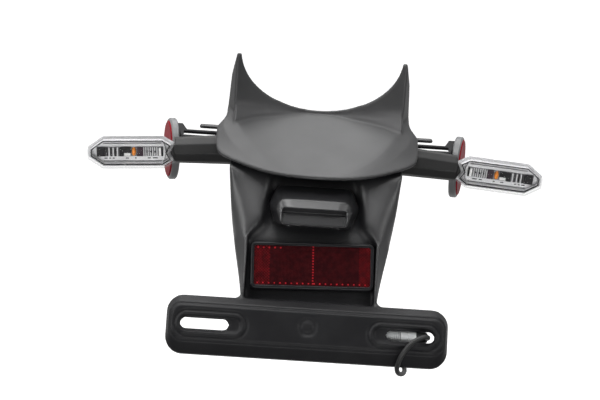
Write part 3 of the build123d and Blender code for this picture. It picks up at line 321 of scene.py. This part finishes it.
def makeSteel(look):
    mat, shader = plainShader("zincSteel", look["colour"], look["rough"][0])
    shader.inputs["Metallic"].default_value = 1
    addGrain(mat, shader, *look["grain"], look["rough"])
    finishes["zincSteel"] = mat


makeSteel(steelLook)

# clear plastic: see-through when faced; toward its edges it turns pale grey and opaque, a painted sheen that
# stands in for the plastic's glancing reflection
clearLook = {
    "colour": (0.40, 0.40, 0.41), "rough": (0.05, 0.10), "faced": 0.0, "edge": 0.80, "blend": 0.16,
    "grain": (300, 0.03, 0.0001),
}


def makeClear(look):
    mat, shader = plainShader("clearLens", look["colour"], look["rough"][0])
    facing = addNode(mat, "LayerWeight", {"Blend": look["blend"]})
    # painted sheen: grey opacity rises toward glancing angles
    paintedSheenVeil = addRange(mat, facing.outputs["Facing"], (0, 1), (look["faced"], look["edge"]))
    joinNodes(mat, paintedSheenVeil.outputs["Result"], shader.inputs["Alpha"])
    addGrain(mat, shader, *look["grain"], look["rough"])
    finishes["clearLens"] = mat


makeClear(clearLook)

# reds of the reflectors: deep field, hatched ends, lit dots and the side discs
redLook = {
    "specular": 0.03, "rough": (0.40, 0.5), "tintScale": 260, "grain": (500, 0.05, 0.0001),
    "colours": {
        "redDeep": ((0.018, 0.001, 0.002), (0.032, 0.002, 0.003)),
        "redHatch": ((0.05, 0.002, 0.003), (0.11, 0.003, 0.005)),
        "redDot": ((0.30, 0.010, 0.016), (0.40, 0.014, 0.02)),
        "redDisc": ((0.14, 0.005, 0.010), (0.22, 0.008, 0.015)),
    },
}


def makeReds(look):
    for finishName, (dark, light) in look["colours"].items():
        mat, shader = plainShader(finishName, dark, look["rough"][0], look["specular"])
        tintDrift(mat, shader, dark, light, look["tintScale"])
        addGrain(mat, shader, *look["grain"], look["rough"])
        finishes[finishName] = mat


makeReds(redLook)
print("finishes made:", len(finishes))


# every new piece rides with the whole part and stands for its solids
def addPiece(name, mesh, finishNames, slotName, *solids):
    piece = linkNew(name, mesh)
    for finishName in finishNames:
        mesh.materials.append(finishes[finishName])
    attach(piece, "root")
    if solids:
        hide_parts(*solids)
    return piece


def bridgeLoops(work, near, far, finishIndex=0):
    for k in range(len(near)):
        after = (k + 1) % len(near)
        work.faces.new((near[k], near[after], far[after], far[k])).material_index = finishIndex


def capLoops(work, first, last, finishIndex=0):
    work.faces.new(first).material_index = finishIndex
    work.faces.new(list(reversed(last))).material_index = finishIndex


def closeMesh(work, name):
    bmesh.ops.recalc_face_normals(work, faces=work.faces)
    mesh = bpy.data.meshes.new(name)
    work.to_mesh(mesh)
    work.free()
    return mesh


# plug at the end of the lamp lead: ribbed boot, flat body and a black sleeve, turned about the lead's axis
plugLook = {
    "axis": (1.5, 8.8), "around": 24, "flat": 0.95,
    "boot": (58.6, 70.4), "ribs": 8, "ribLow": 4.6, "ribHigh": 5.2,
    "ribRise": 0.2, "ribFall": 0.6, "ribEnd": 0.8,
    "body": [
        (70.4, 4.4), (70.8, 5.1), (75.6, 5.1), (75.9, 4.8),
        (76.4, 4.8), (76.7, 5.1), (82.1, 5.1), (82.5, 4.5),
    ],
    "sleeve": [(82.4, 4.6), (83.0, 5.0), (86.0, 4.8), (90.2, 4.0), (91.2, 3.2)],
}


def addTurned(work, profile, look, flat, finishIndex):
    axisH, axisD = look["axis"]
    turns = [2 * pi * k / look["around"] for k in range(look["around"])]
    loops = [
        [work.verts.new(facePoint(x, axisH + r * cos(t) * flat, axisD + r * sin(t))) for t in turns]
        for x, r in profile
    ]
    capLoops(work, loops[0], loops[-1], finishIndex)
    for near, far in zip(loops, loops[1:]):
        bridgeLoops(work, near, far, finishIndex)


def bootProfile(look):
    start, end = look["boot"]
    pitch = (end - start) / look["ribs"]
    profile = []
    for k in range(look["ribs"]):
        left = start + k * pitch
        profile += [
            (left, look["ribLow"]),
            (left + pitch * look["ribRise"], look["ribHigh"]),
            (left + pitch * look["ribFall"], look["ribHigh"]),
            (left + pitch * look["ribEnd"], look["ribLow"]),
        ]
    return profile


def makePlug(look):
    work = bmesh.new()
    addTurned(work, bootProfile(look), look, 1.0, 0)
    addTurned(work, look["body"], look, look["flat"], 1)
    mesh = closeMesh(work, "leadPlug")
    plug = addPiece("leadPlug", mesh, ["bootGrey", "plugGrey"], "connector_plastic", "lead_connector")
    work = bmesh.new()
    addTurned(work, look["sleeve"], look, 1.0, 0)
    sleeve = addPiece("plugSleeve", closeMesh(work, "plugSleeve"), ["leadRubber"], "black_rubber")
    return [plug, sleeve]


# lamp lead: the same stops as the solid lead has
leadLook = {
    "diameter": 3.7, "length": 252.0, "order": 3, "steps": 12, "around": 5,
    "stops": [
        (0.0, 107.90, 29.80), (0.0, 105.58, 42.59), (6.0, 92.0, 48.0), (18.0, 68.0, 51.0), (36.0, 40.0, 50.0),
        (56.0, 14.0, 46.0), (71.0, -8.0, 40.0), (77.5, -20.0, 31.5), (75.5, -25.5, 22.0), (70.8, -26.8, 12.0),
        (68.4, -23.8, 4.0), (70.2, -16.6, -4.0), (74.5, -9.6, -7.5), (80.4, -3.4, -7.4), (88.0, 0.4, -6.0),
        (91.8, 0.6, 1.5), (89.8, 0.6, 8.6), (82.6, 0.6, 8.6),
    ],
}


def makeLead(look, onLead):
    curve = bpy.data.curves.new("lampLead", "CURVE")
    curve.dimensions = "3D"
    spline = curve.splines.new("NURBS")
    spline.points.add(len(look["stops"]) - 1)
    for point, stop in zip(spline.points, look["stops"]):
        point.co = (*facePoint(*stop), 1)
    spline.order_u = look["order"]
    spline.use_endpoint_u = True
    spline.resolution_u = look["steps"]
    curve.bevel_depth = look["diameter"] / 2 * mm
    curve.bevel_resolution = look["around"]
    curve.use_fill_caps = True
    lead = addPiece("lampLead", curve, ["leadRubber"], "black_rubber", "lamp_lead")


makeLead(leadLook, makePlug(plugLook))
print("lamp lead and its plug laid")

# ledge along the foot of the horned wall, added to the cover before it is remeshed
ledgeLook = {
    "half": 66.4, "stations": 43, "wallFront": -34.5, "wallRadius": 130.0, "footRadius": 95.0,
    "reach": 2.2, "riser": 2.0, "topSlope": 0.95,
    "cove": 9.0, "coveRun": 3.0, "coveTurns": (18, 35, 52, 70, 90),
    "lip": (-116.0, -10.4), "dishSlope": 0.3443, "dish": 320.0,
    "sunk": 1.2, "inWall": 1.2, "fadeFrom": 10.0, "fadeTo": 34.0, "least": 0.1,
}


def ledgeSection(x, look):
    lipY, lipZ = look["lip"]
    wallY = look["wallFront"] - look["wallRadius"] + (look["wallRadius"]**2 - x * x)**0.5
    footY = look["wallFront"] - look["footRadius"] + (look["footRadius"]**2 - x * x)**0.5
    share = min(1, max(look["least"], (abs(x) - look["fadeFrom"]) / (look["fadeTo"] - look["fadeFrom"])))
    nearY = footY - look["reach"] * share
    dishZ = lipZ + (nearY - lipY) * look["dishSlope"] + x * x / (2 * look["dish"])
    coveY, backY = wallY - look["coveRun"] * share, wallY + look["inWall"]
    topZ = dishZ + look["riser"] * share
    coveZ = topZ + (coveY - nearY) * look["topSlope"]
    points = [(nearY - look["sunk"], dishZ - look["sunk"] / 2), (nearY, topZ)]
    start = radians(look["coveTurns"][0])
    for turn in look["coveTurns"]:  # from the slope of the top round to the upright wall
        runShare = (sin(radians(turn)) - sin(start)) / (1 - sin(start))
        riseShare = 1 - cos(radians(turn)) / cos(start)
        points.append((coveY + (wallY - coveY) * runShare, coveZ + look["cove"] * share * riseShare))
    points += [(backY, points[-1][1]), (backY, dishZ - look["sunk"])]
    return [Vector((x, y, z)) * mm for y, z in points]


def ledgeStrip(look):
    work = bmesh.new()
    sections = []
    for k in range(look["stations"]):
        x = look["half"] * (2 * k / (look["stations"] - 1) - 1)
        sections.append([work.verts.new(point) for point in ledgeSection(x, look)])
    for near, far in zip(sections, sections[1:]):
        bridgeLoops(work, near, far)
    capLoops(work, sections[0], sections[-1])
    return closeMesh(work, "ledgeStrip")


# the hood's brow is cut back to face upward, the face under it stands steeper and the ends are rounded off
browLook = {
    "edge": 96.2, "front": -3.0, "lean": 0.56,
    "faceHalf": 24.3, "faceLow": 80.5, "faceHigh": 91.5, "faceDepth": 9.0, "faceTilt": 0.15,
    "sinkFrom": 90.5, "sinkFull": 95.5, "sinkHold": 105.0, "sinkEnd": 114.0, "sink": 3.0,
    "domeFrom": 17.0, "domeTo": 34.0, "domeLow": 89.0, "domeFade": 5.0, "domePush": 9.0, "domeBase": 16.0,
    "domeLean": 0.45, "leanRate": 1.6,
}


def browDepth(across, height, depth, dome, look):
    if height > look["edge"]:
        leanShare = min(1, look["leanRate"] * dome)
        browLean = look["lean"] + (look["domeLean"] - look["lean"]) * leanShare
        return max(depth, look["front"] + (height - look["edge"]) * browLean)
    onFace = abs(across) < look["faceHalf"] and look["faceLow"] < height < look["faceHigh"]
    if onFace and depth < look["faceDepth"]:
        return depth + (height - (look["faceLow"] + look["faceHigh"]) / 2) * look["faceTilt"]
    return depth


def shapeHood(mesh, look):
    for vert in mesh.vertices:
        across, height, depth = faceCoords(vert.co)
        dome = clampShare((abs(across) - look["domeFrom"]) / (look["domeTo"] - look["domeFrom"]))
        newDepth = browDepth(across, height, depth, dome, look)
        rising = (height - look["sinkFrom"]) / (look["sinkFull"] - look["sinkFrom"])
        falling = (look["sinkEnd"] - height) / (look["sinkEnd"] - look["sinkHold"])
        sink = look["sink"] * clampShare(min(rising, falling))
        push = look["domePush"] * dome**2 * clampShare((height - look["domeLow"]) / look["domeFade"])
        ahead = clampShare((look["domeBase"] - newDepth) / (look["domeBase"] - look["front"]))
        newDepth += push * ahead  # the ends fall back into rounded shoulders
        vert.co -= (outFace * (newDepth - depth) + upFace * sink) * mm


# the flanks roll softly into the channel beside the hood, and the hood's top and shoulders are eased
channelLook = {
    "low": 70.0, "high": 134.0, "fade": 8.0, "inner": 24.0, "outer": 64.0, "sideFade": 4.0, "rounds": 130,
}
hoodTopLook = {"edge": 98.0, "side": 24.5, "low": 84.0, "fade": 3.0, "rounds": 160}


def channelWeight(across, height):
    look = channelLook
    upShare = min(height - look["low"], look["high"] - height) / look["fade"]
    sideShare = min(abs(across) - look["inner"], look["outer"] - abs(across)) / look["sideFade"]
    return clampShare(min(upShare, sideShare))


def hoodTopWeight(across, height):
    look = hoodTopLook
    top = height - look["edge"]
    shoulder = min(abs(across) - look["side"], height - look["low"])
    return clampShare(max(top, shoulder) / look["fade"])


# fine dark lines pressed round the plate bar's panel and its slot rims
# each line: middle across, middle height, half width, half height, corner
creaseLook = {
    "lines": {
        "panel": (0.0, 1.8, 103.3, 13.6, 8.5),
        "leftRim": (-73.0, 0.6, 27.0, 9.7, 9.7),
        "rightRim": (73.0, 0.6, 27.0, 9.7, 9.7),
    },
    "deep": 1.6, "width": 1.05, "behind": 2.6,
}


def outlineGap(across, height, outline):
    middleX, middleH, halfX, halfH, corner = outline
    overX, overH = abs(across - middleX) - halfX + corner, abs(height - middleH) - halfH + corner
    return abs((max(overX, 0)**2 + max(overH, 0)**2)**0.5 + min(max(overX, overH), 0) - corner)


def creaseBar(mesh, look):
    for vert in mesh.vertices:
        across, height, depth = faceCoords(vert.co)
        if depth < look["behind"]:
            gap = min(outlineGap(across, height, line) for line in look["lines"].values())
            vert.co -= outFace * look["deep"] * exp(-(gap / look["width"])**2) * mm


# soft mouldings: a copy of the solid is remeshed fine and eased, which rounds its edges as a mould does
# piece: solid, voxel in mm, easing rounds, finish, slot
softLook = {
    "fenderShell": ("fender_body", 1.22, 2, "fenderBlack", "fender_plastic"),
    "tailCover": ("upper_cover", 0.9, 7, "coverBlack", "cover_plastic"),
    "lampHood": ("plate_lamp_hood", 0.5, 6, "hoodBlack", "hood_plastic"),
    "reflectorTray": ("rear_reflector_back", 0.6, 2, "trayBlack", "reflector_tray"),
    "leftStalk": ("left_indicator_stalk", 0.6, 5, "stalkBlack", "stalk_rubber"),
    "rightStalk": ("right_indicator_stalk", 0.6, 5, "stalkBlack", "stalk_rubber"),
    "leftBracket": ("left_side_reflector_bracket", 0.55, 3, "bracketPaint", "bracket_steel"),
    "rightBracket": ("right_side_reflector_bracket", 0.55, 3, "bracketPaint", "bracket_steel"),
}
easeLook = {"weld": 0.01, "factor": 0.5}


def bakeModifiers(piece):
    graph = bpy.context.evaluated_depsgraph_get()
    baked = bpy.data.meshes.new_from_object(piece.evaluated_get(graph))
    piece.modifiers.clear()
    piece.data = baked
    return baked


def weldedCopy(nodeName):
    work = bmesh.new()
    work.from_mesh(nodes[nodeName].data)
    bmesh.ops.remove_doubles(work, verts=work.verts, dist=easeLook["weld"] * mm)
    if nodeName == "upper_cover":
        work.from_mesh(ledgeStrip(ledgeLook))  # the remesh joins the ledge to the wall
    mesh = bpy.data.meshes.new(nodeName + "Skin")
    work.to_mesh(mesh)
    work.free()
    return mesh


def easePiece(piece, rounds, zone=""):
    ease = piece.modifiers.new("easeEdges", "SMOOTH")
    ease.factor, ease.iterations, ease.vertex_group = easeLook["factor"], rounds, zone
    return bakeModifiers(piece)


def easeZone(piece, weightOf, rounds):
    group = piece.vertex_groups.new(name="softZone")
    for vert in piece.data.vertices:
        across, height = faceCoords(vert.co)[:2]
        weight = weightOf(across, height)
        if weight > 0:
            group.add([vert.index], weight, "REPLACE")
    easePiece(piece, rounds, "softZone")
    piece.vertex_groups.clear()


def softMoulding(name, solid, voxel, rounds, finishName, slotName):
    piece = addPiece(name, weldedCopy(solid), [finishName], slotName, solid)
    skin = piece.modifiers.new("fineSkin", "REMESH")
    skin.mode = "VOXEL"
    skin.voxel_size = voxel * mm
    skin.use_smooth_shade = True
    mesh = bakeModifiers(piece)
    if name == "lampHood":
        shapeHood(mesh, browLook)
        easeZone(piece, hoodTopWeight, hoodTopLook["rounds"])
    if name == "fenderShell":
        easeZone(piece, channelWeight, channelLook["rounds"])
    mesh = easePiece(piece, rounds)
    if name == "fenderShell":
        creaseBar(mesh, creaseLook)
    mesh.shade_smooth()
    print(name, len(mesh.polygons), "faces")


for pieceName, softRow in softLook.items():
    softMoulding(pieceName, *softRow)
print("soft mouldings made")

# rear reflector lens: a field of small pyramids over a plain block, askew like its tray, in plate face mm
rearField = {
    "finishes": ["redDeep", "redHatch", "redDot"],
    "middle": (1.2, 51.6), "skew": 2.2, "halfWidth": 44.45, "halfHeight": 15.3, "corner": 0.5,
    "peak": 12.42, "valley": 12.80, "back": 16.0, "columns": 82, "rows": 28, "hatchLeft": 11, "hatchRight": 8,
    "dotStep": 4, "dotFirst": 2, "topDots": 22, "lineColumn": 41,
}


def fieldPoint(look, across, height, depth):
    skew = radians(look["skew"])
    middleX, middleH = look["middle"]
    skewX = across * cos(skew) - height * sin(skew)
    skewH = across * sin(skew) + height * cos(skew)
    return facePoint(middleX + skewX, middleH + skewH, depth)


def cellFinish(look, column, row):
    deep, hatch, dot = range(len(look["finishes"]))
    dotColumn = column % look["dotStep"] == look["dotFirst"]
    lowDot = row == 1 and dotColumn
    topDot = row == look["rows"] - 2 and dotColumn and column < look["topDots"]
    lineDot = column == look["lineColumn"] and row % 2
    if lowDot or topDot or lineDot:
        return dot
    inHatch = column < look["hatchLeft"] or column >= look["columns"] - look["hatchRight"]
    return hatch if inHatch and (column + row) % 2 else deep


def fieldGrid(work, look, stepX, stepH):
    columns, rows = look["columns"], look["rows"]
    grid = []
    for j in range(rows + 1):
        grid.append([])
        for i in range(columns + 1):
            across, height = i * stepX - look["halfWidth"], j * stepH - look["halfHeight"]
            if i in (0, columns) and j in (0, rows):  # the tray's corners are rounded
                across -= look["corner"] * (1 if i else -1)
                height -= look["corner"] * (1 if j else -1)
            grid[j].append(work.verts.new(fieldPoint(look, across, height, look["valley"])))
    return grid


def makeRearLens(look):
    work = bmesh.new()
    stepX, stepH = 2 * look["halfWidth"] / look["columns"], 2 * look["halfHeight"] / look["rows"]
    grid = fieldGrid(work, look, stepX, stepH)
    for j in range(look["rows"]):
        for i in range(look["columns"]):
            across, height = (i + 0.5) * stepX - look["halfWidth"], (j + 0.5) * stepH - look["halfHeight"]
            peak = work.verts.new(fieldPoint(look, across, height, look["peak"]))
            ring = [grid[j][i], grid[j][i + 1], grid[j + 1][i + 1], grid[j + 1][i]]
            for near, far in zip(ring, ring[1:] + ring[:1]):
                work.faces.new((near, far, peak)).material_index = cellFinish(look, i, j)
    lowEdge, topEdge = grid[0], grid[-1][-2::-1]
    edge = lowEdge + [row[-1] for row in grid[1:]] + topEdge + [row[0] for row in grid[-2:0:-1]]
    drop = outFace * (look["valley"] - look["back"]) * mm
    under = [work.verts.new(vert.co + drop) for vert in edge]
    bridgeLoops(work, under, edge)
    work.faces.new(list(reversed(under)))
    mesh = closeMesh(work, "rearLens")
    addPiece("rearLens", mesh, look["finishes"], "red_lens", "rear_reflector_lens")
    print("rearLens", len(mesh.polygons), "faces")


makeRearLens(rearField)

# indicators: a point is given as along the stalk, up and out toward the viewer, in mm from the stalk's root
lampFrame = {"root": (67.2, -62.0, -9.5), "droop": 4.2}
droop = radians(lampFrame["droop"])


def lampPoint(side, along, up, out):
    rootX, rootY, rootZ = lampFrame["root"]
    x = rootX + along * cos(droop) + up * sin(droop)
    return Vector((side * x, rootY - out, rootZ - along * sin(droop) + up * cos(droop))) * mm


def lampLoop(work, side, outline, out):
    return [work.verts.new(lampPoint(side, along, up, out)) for along, up in outline]


def insetOutline(outline, gap):
    points = [Vector(p) for p in outline]
    moved = []
    for i, point in enumerate(points):
        before = (point - points[i - 1]).normalized()
        after = (points[(i + 1) % len(points)] - point).normalized()
        sideA, sideB = Vector((before.y, -before.x)), Vector((after.y, -after.x))
        moved.append(point + (sideA + sideB) * (gap / (1 + sideA.dot(sideB))))
    return [(p.x, p.y) for p in moved]


def addSlab(work, side, outline, low, high, finishIndex):
    under, over = (lampLoop(work, side, outline, out) for out in (low, high))
    capLoops(work, over, under, finishIndex)
    bridgeLoops(work, under, over, finishIndex)


def addBlock(work, side, span, rise, low, high, finishIndex):
    (a0, a1), (u0, u1) = span, rise
    addSlab(work, side, [(a0, u1), (a1, u1), (a1, u0), (a0, u0)], low, high, finishIndex)


def addRim(work, side, outer, inner, low, high, finishIndex):
    corners = ((outer, low), (outer, high), (inner, high), (inner, low))
    loops = [lampLoop(work, side, outline, out) for outline, out in corners]
    for k in range(len(loops)):
        bridgeLoops(work, loops[k - 1], loops[k], finishIndex)


# tray behind the clear lens: floor, wall and a dark rim line, with a curved line at the heel
trayLook = {
    "finishes": ["plateGrey", "lampDark", "lampMid"],
    "lensOutline": [
        (45.0, 6.6), (53.8, 12.3), (101.9, 12.3), (113.6, 4.0), (113.6, -4.0), (101.9, -12.3), (53.8, -12.3),
        (45.0, -6.6), (48.6, 0.0),
    ],
    "inset": 2.3, "wall": 0.9, "floor": 0.8, "sunk": 0.4, "rimLow": 4.7, "rimTop": 5.5,
    "heel": (53.9, 2.3, 8.6), "heelPoints": 13, "heelWidth": 0.6, "heelTop": 2.4,
    "lines": [(6.6, 0.35), (8.3, 0.3), (-7.9, 0.3)], "lineSpan": (55.5, 101.5), "lineTop": 1.3,
    "dashes": [
        (98.6, 101.0), (95.9, 97.1), (92.9, 94.3), (81.6, 84.0), (75.4, 77.0), (64.2, 66.6), (58.7, 62.4),
    ],
    "dashRise": (-5.9, -5.2), "dashTop": 1.2,
}


def makeTray(side, sideName, look):
    work = bmesh.new()
    pale, dark, mid = range(len(look["finishes"]))
    outline = insetOutline(look["lensOutline"], look["inset"])
    inner = insetOutline(outline, look["wall"])
    sunk = look["sunk"]
    addSlab(work, side, outline, 0.0, look["floor"], pale)
    addRim(work, side, outline, inner, sunk, look["rimLow"], pale)
    addRim(work, side, outline, inner, look["rimLow"], look["rimTop"], dark)
    heelAlong, heelBulge, heelHalf = look["heel"]
    steps = (look["heelPoints"] - 1) / 2
    shares = [k / steps - 1 for k in range(look["heelPoints"])]
    bow = [(heelAlong - heelBulge * (1 - s * s), s * heelHalf) for s in shares]
    thick = [(along + look["heelWidth"], up) for along, up in reversed(bow)]
    addSlab(work, side, bow + thick, sunk, look["heelTop"], mid)
    for rise, half in look["lines"]:
        addBlock(work, side, look["lineSpan"], (rise - half, rise + half), sunk, look["lineTop"], mid)
    for span in look["dashes"]:
        addBlock(work, side, span, look["dashRise"], sunk, look["dashTop"], dark)
    name = sideName + "LampTray"
    addPiece(name, closeMesh(work, name), look["finishes"], "lamp_plate", sideName + "_indicator_reflector")


# light guide: a row of dark blocks, ribs and a bright bar on a grey strip
guideLook = {
    "finishes": ["lampMid", "lampDark", "plateGrey", "brightBarChip", "lampPlum"],
    "strip": ((54.2, 107.0), (-3.9, 3.9)), "base": 0.6, "stripTop": 1.2, "low": 1.0, "rise": (-3.5, 3.5),
    # name: span, rise, top, finish
    "blocks": {
        "tipBlock": ((99.8, 106.6), (-3.3, 3.3), 4.0, "lampDark"),
        "notch": ((80.2, 85.0), (-3.3, -1.1), 2.2, "brightBarChip"),
        "plumBlock": ((69.8, 74.8), (-3.5, 3.5), 3.0, "lampPlum"),
        "brightBar": ((55.8, 57.4), (-3.1, 3.1), 3.2, "brightBarChip"),
        "darkBar": ((54.3, 55.5), (-3.5, 3.5), 3.2, "lampDark"),
    },
    # name: start, pitch, count, width, top, finishes in turn
    "rows": {
        "ribs": (90.0, 1.65, 6, 0.7, 3.0, ["plateGrey", "lampDark"]),
        "fins": (58.8, 1.75, 7, 0.5, 2.2, ["plateGrey"]),
    },
    "darkStep": [(79.6, 3.5), (88.8, 3.5), (88.8, -3.5), (85.6, -3.5), (85.6, -0.7), (79.6, -0.7)],
    "stepTop": 3.4,
    "marks": (60.4, 63.7, 66.9), "markSize": 1.1, "markTop": 3.0,
}


def makeGuide(side, sideName, look):
    work = bmesh.new()
    low, indexOf = look["low"], look["finishes"].index
    addBlock(work, side, *look["strip"], look["base"], look["stripTop"], indexOf("lampMid"))
    for span, rise, top, finishName in look["blocks"].values():
        addBlock(work, side, span, rise, low, top, indexOf(finishName))
    for start, pitch, count, width, top, finishNames in look["rows"].values():
        for k in range(count):
            left = start + k * pitch
            finishIndex = indexOf(finishNames[k % len(finishNames)])
            addBlock(work, side, (left, left + width), look["rise"], low, top, finishIndex)
    addSlab(work, side, look["darkStep"], low, look["stepTop"], indexOf("lampDark"))
    half, dark = look["markSize"] / 2, indexOf("lampDark")
    for along in look["marks"]:
        addBlock(work, side, (along - half, along + half), (-half, half), low, look["markTop"], dark)
    name = sideName + "LightGuide"
    addPiece(name, closeMesh(work, name), look["finishes"], "clear_lens", sideName + "_indicator_guide")


# amber lamp: a tall domed bead
beadLook = {
    "along": 77.4, "halfWidth": 1.8, "halfHeight": 3.6, "foot": 0.8, "rise": 3.4, "around": 28, "rings": 7,
}


def makeBead(side, sideName, look):
    work = bmesh.new()
    turns = [2 * pi * k / look["around"] for k in range(look["around"])]
    loops = []
    for ring in range(look["rings"]):
        tilt = ring / look["rings"] * pi / 2
        wide, tall = look["halfWidth"] * cos(tilt), look["halfHeight"] * cos(tilt)
        oval = [(look["along"] + wide * cos(turn), tall * sin(turn)) for turn in turns]
        loops.append(lampLoop(work, side, oval, look["foot"] + look["rise"] * sin(tilt)))
    for near, far in zip(loops, loops[1:]):
        bridgeLoops(work, near, far)
    crown = work.verts.new(lampPoint(side, look["along"], 0, look["foot"] + look["rise"]))
    last = loops[-1]
    for k in range(len(last)):
        work.faces.new((last[k - 1], last[k], crown))
    work.faces.new(list(reversed(loops[0])))
    name = sideName + "AmberBead"
    bead = addPiece(name, closeMesh(work, name), ["amberChip"], "amber_chip", sideName + "_indicator_led")
    bead.data.shade_smooth()


for side, sideName in ((-1, "left"), (1, "right")):
    makeTray(side, sideName, trayLook)
    makeGuide(side, sideName, guideLook)
    makeBead(side, sideName, beadLook)
print("indicator insides made")

# node: finish of each solid that shows as it is
solidFinish = {
    "plate_lamp_gasket": "leadRubber", "plate_lamp_lens": "clearLens", "plate_lamp_board": "boardGreen",
    "plate_lamp_leds": "warmWhiteChip", "plate_lamp_screws": "zincSteel",
    "rear_reflector_washer": "zincSteel", "rear_reflector_nut": "zincSteel",
    "bracket_bolts": "zincSteel", "bracket_nuts": "zincSteel", "cover_screws": "zincSteel",
    "mount_collars": "zincSteel", "lead_grommet": "leadRubber",
}
pairFinish = {
    "indicator_washer": "zincSteel", "indicator_nut": "zincSteel",
    "indicator_housing": "housingPale", "indicator_board": "boardGreen", "indicator_lens": "clearLens",
    "side_reflector_body": "bodyGrey", "side_reflector_lens": "redDisc", "side_reflector_nut": "zincSteel",
}
for nodeName, finishName in pairFinish.items():
    for prefix in ("left_", "right_"):
        solidFinish[prefix + nodeName] = finishName
for nodeName, finishName in solidFinish.items():
    nodes[nodeName].data.materials.clear()
    nodes[nodeName].data.materials.append(finishes[finishName])
print("solids finished:", len(solidFinish))
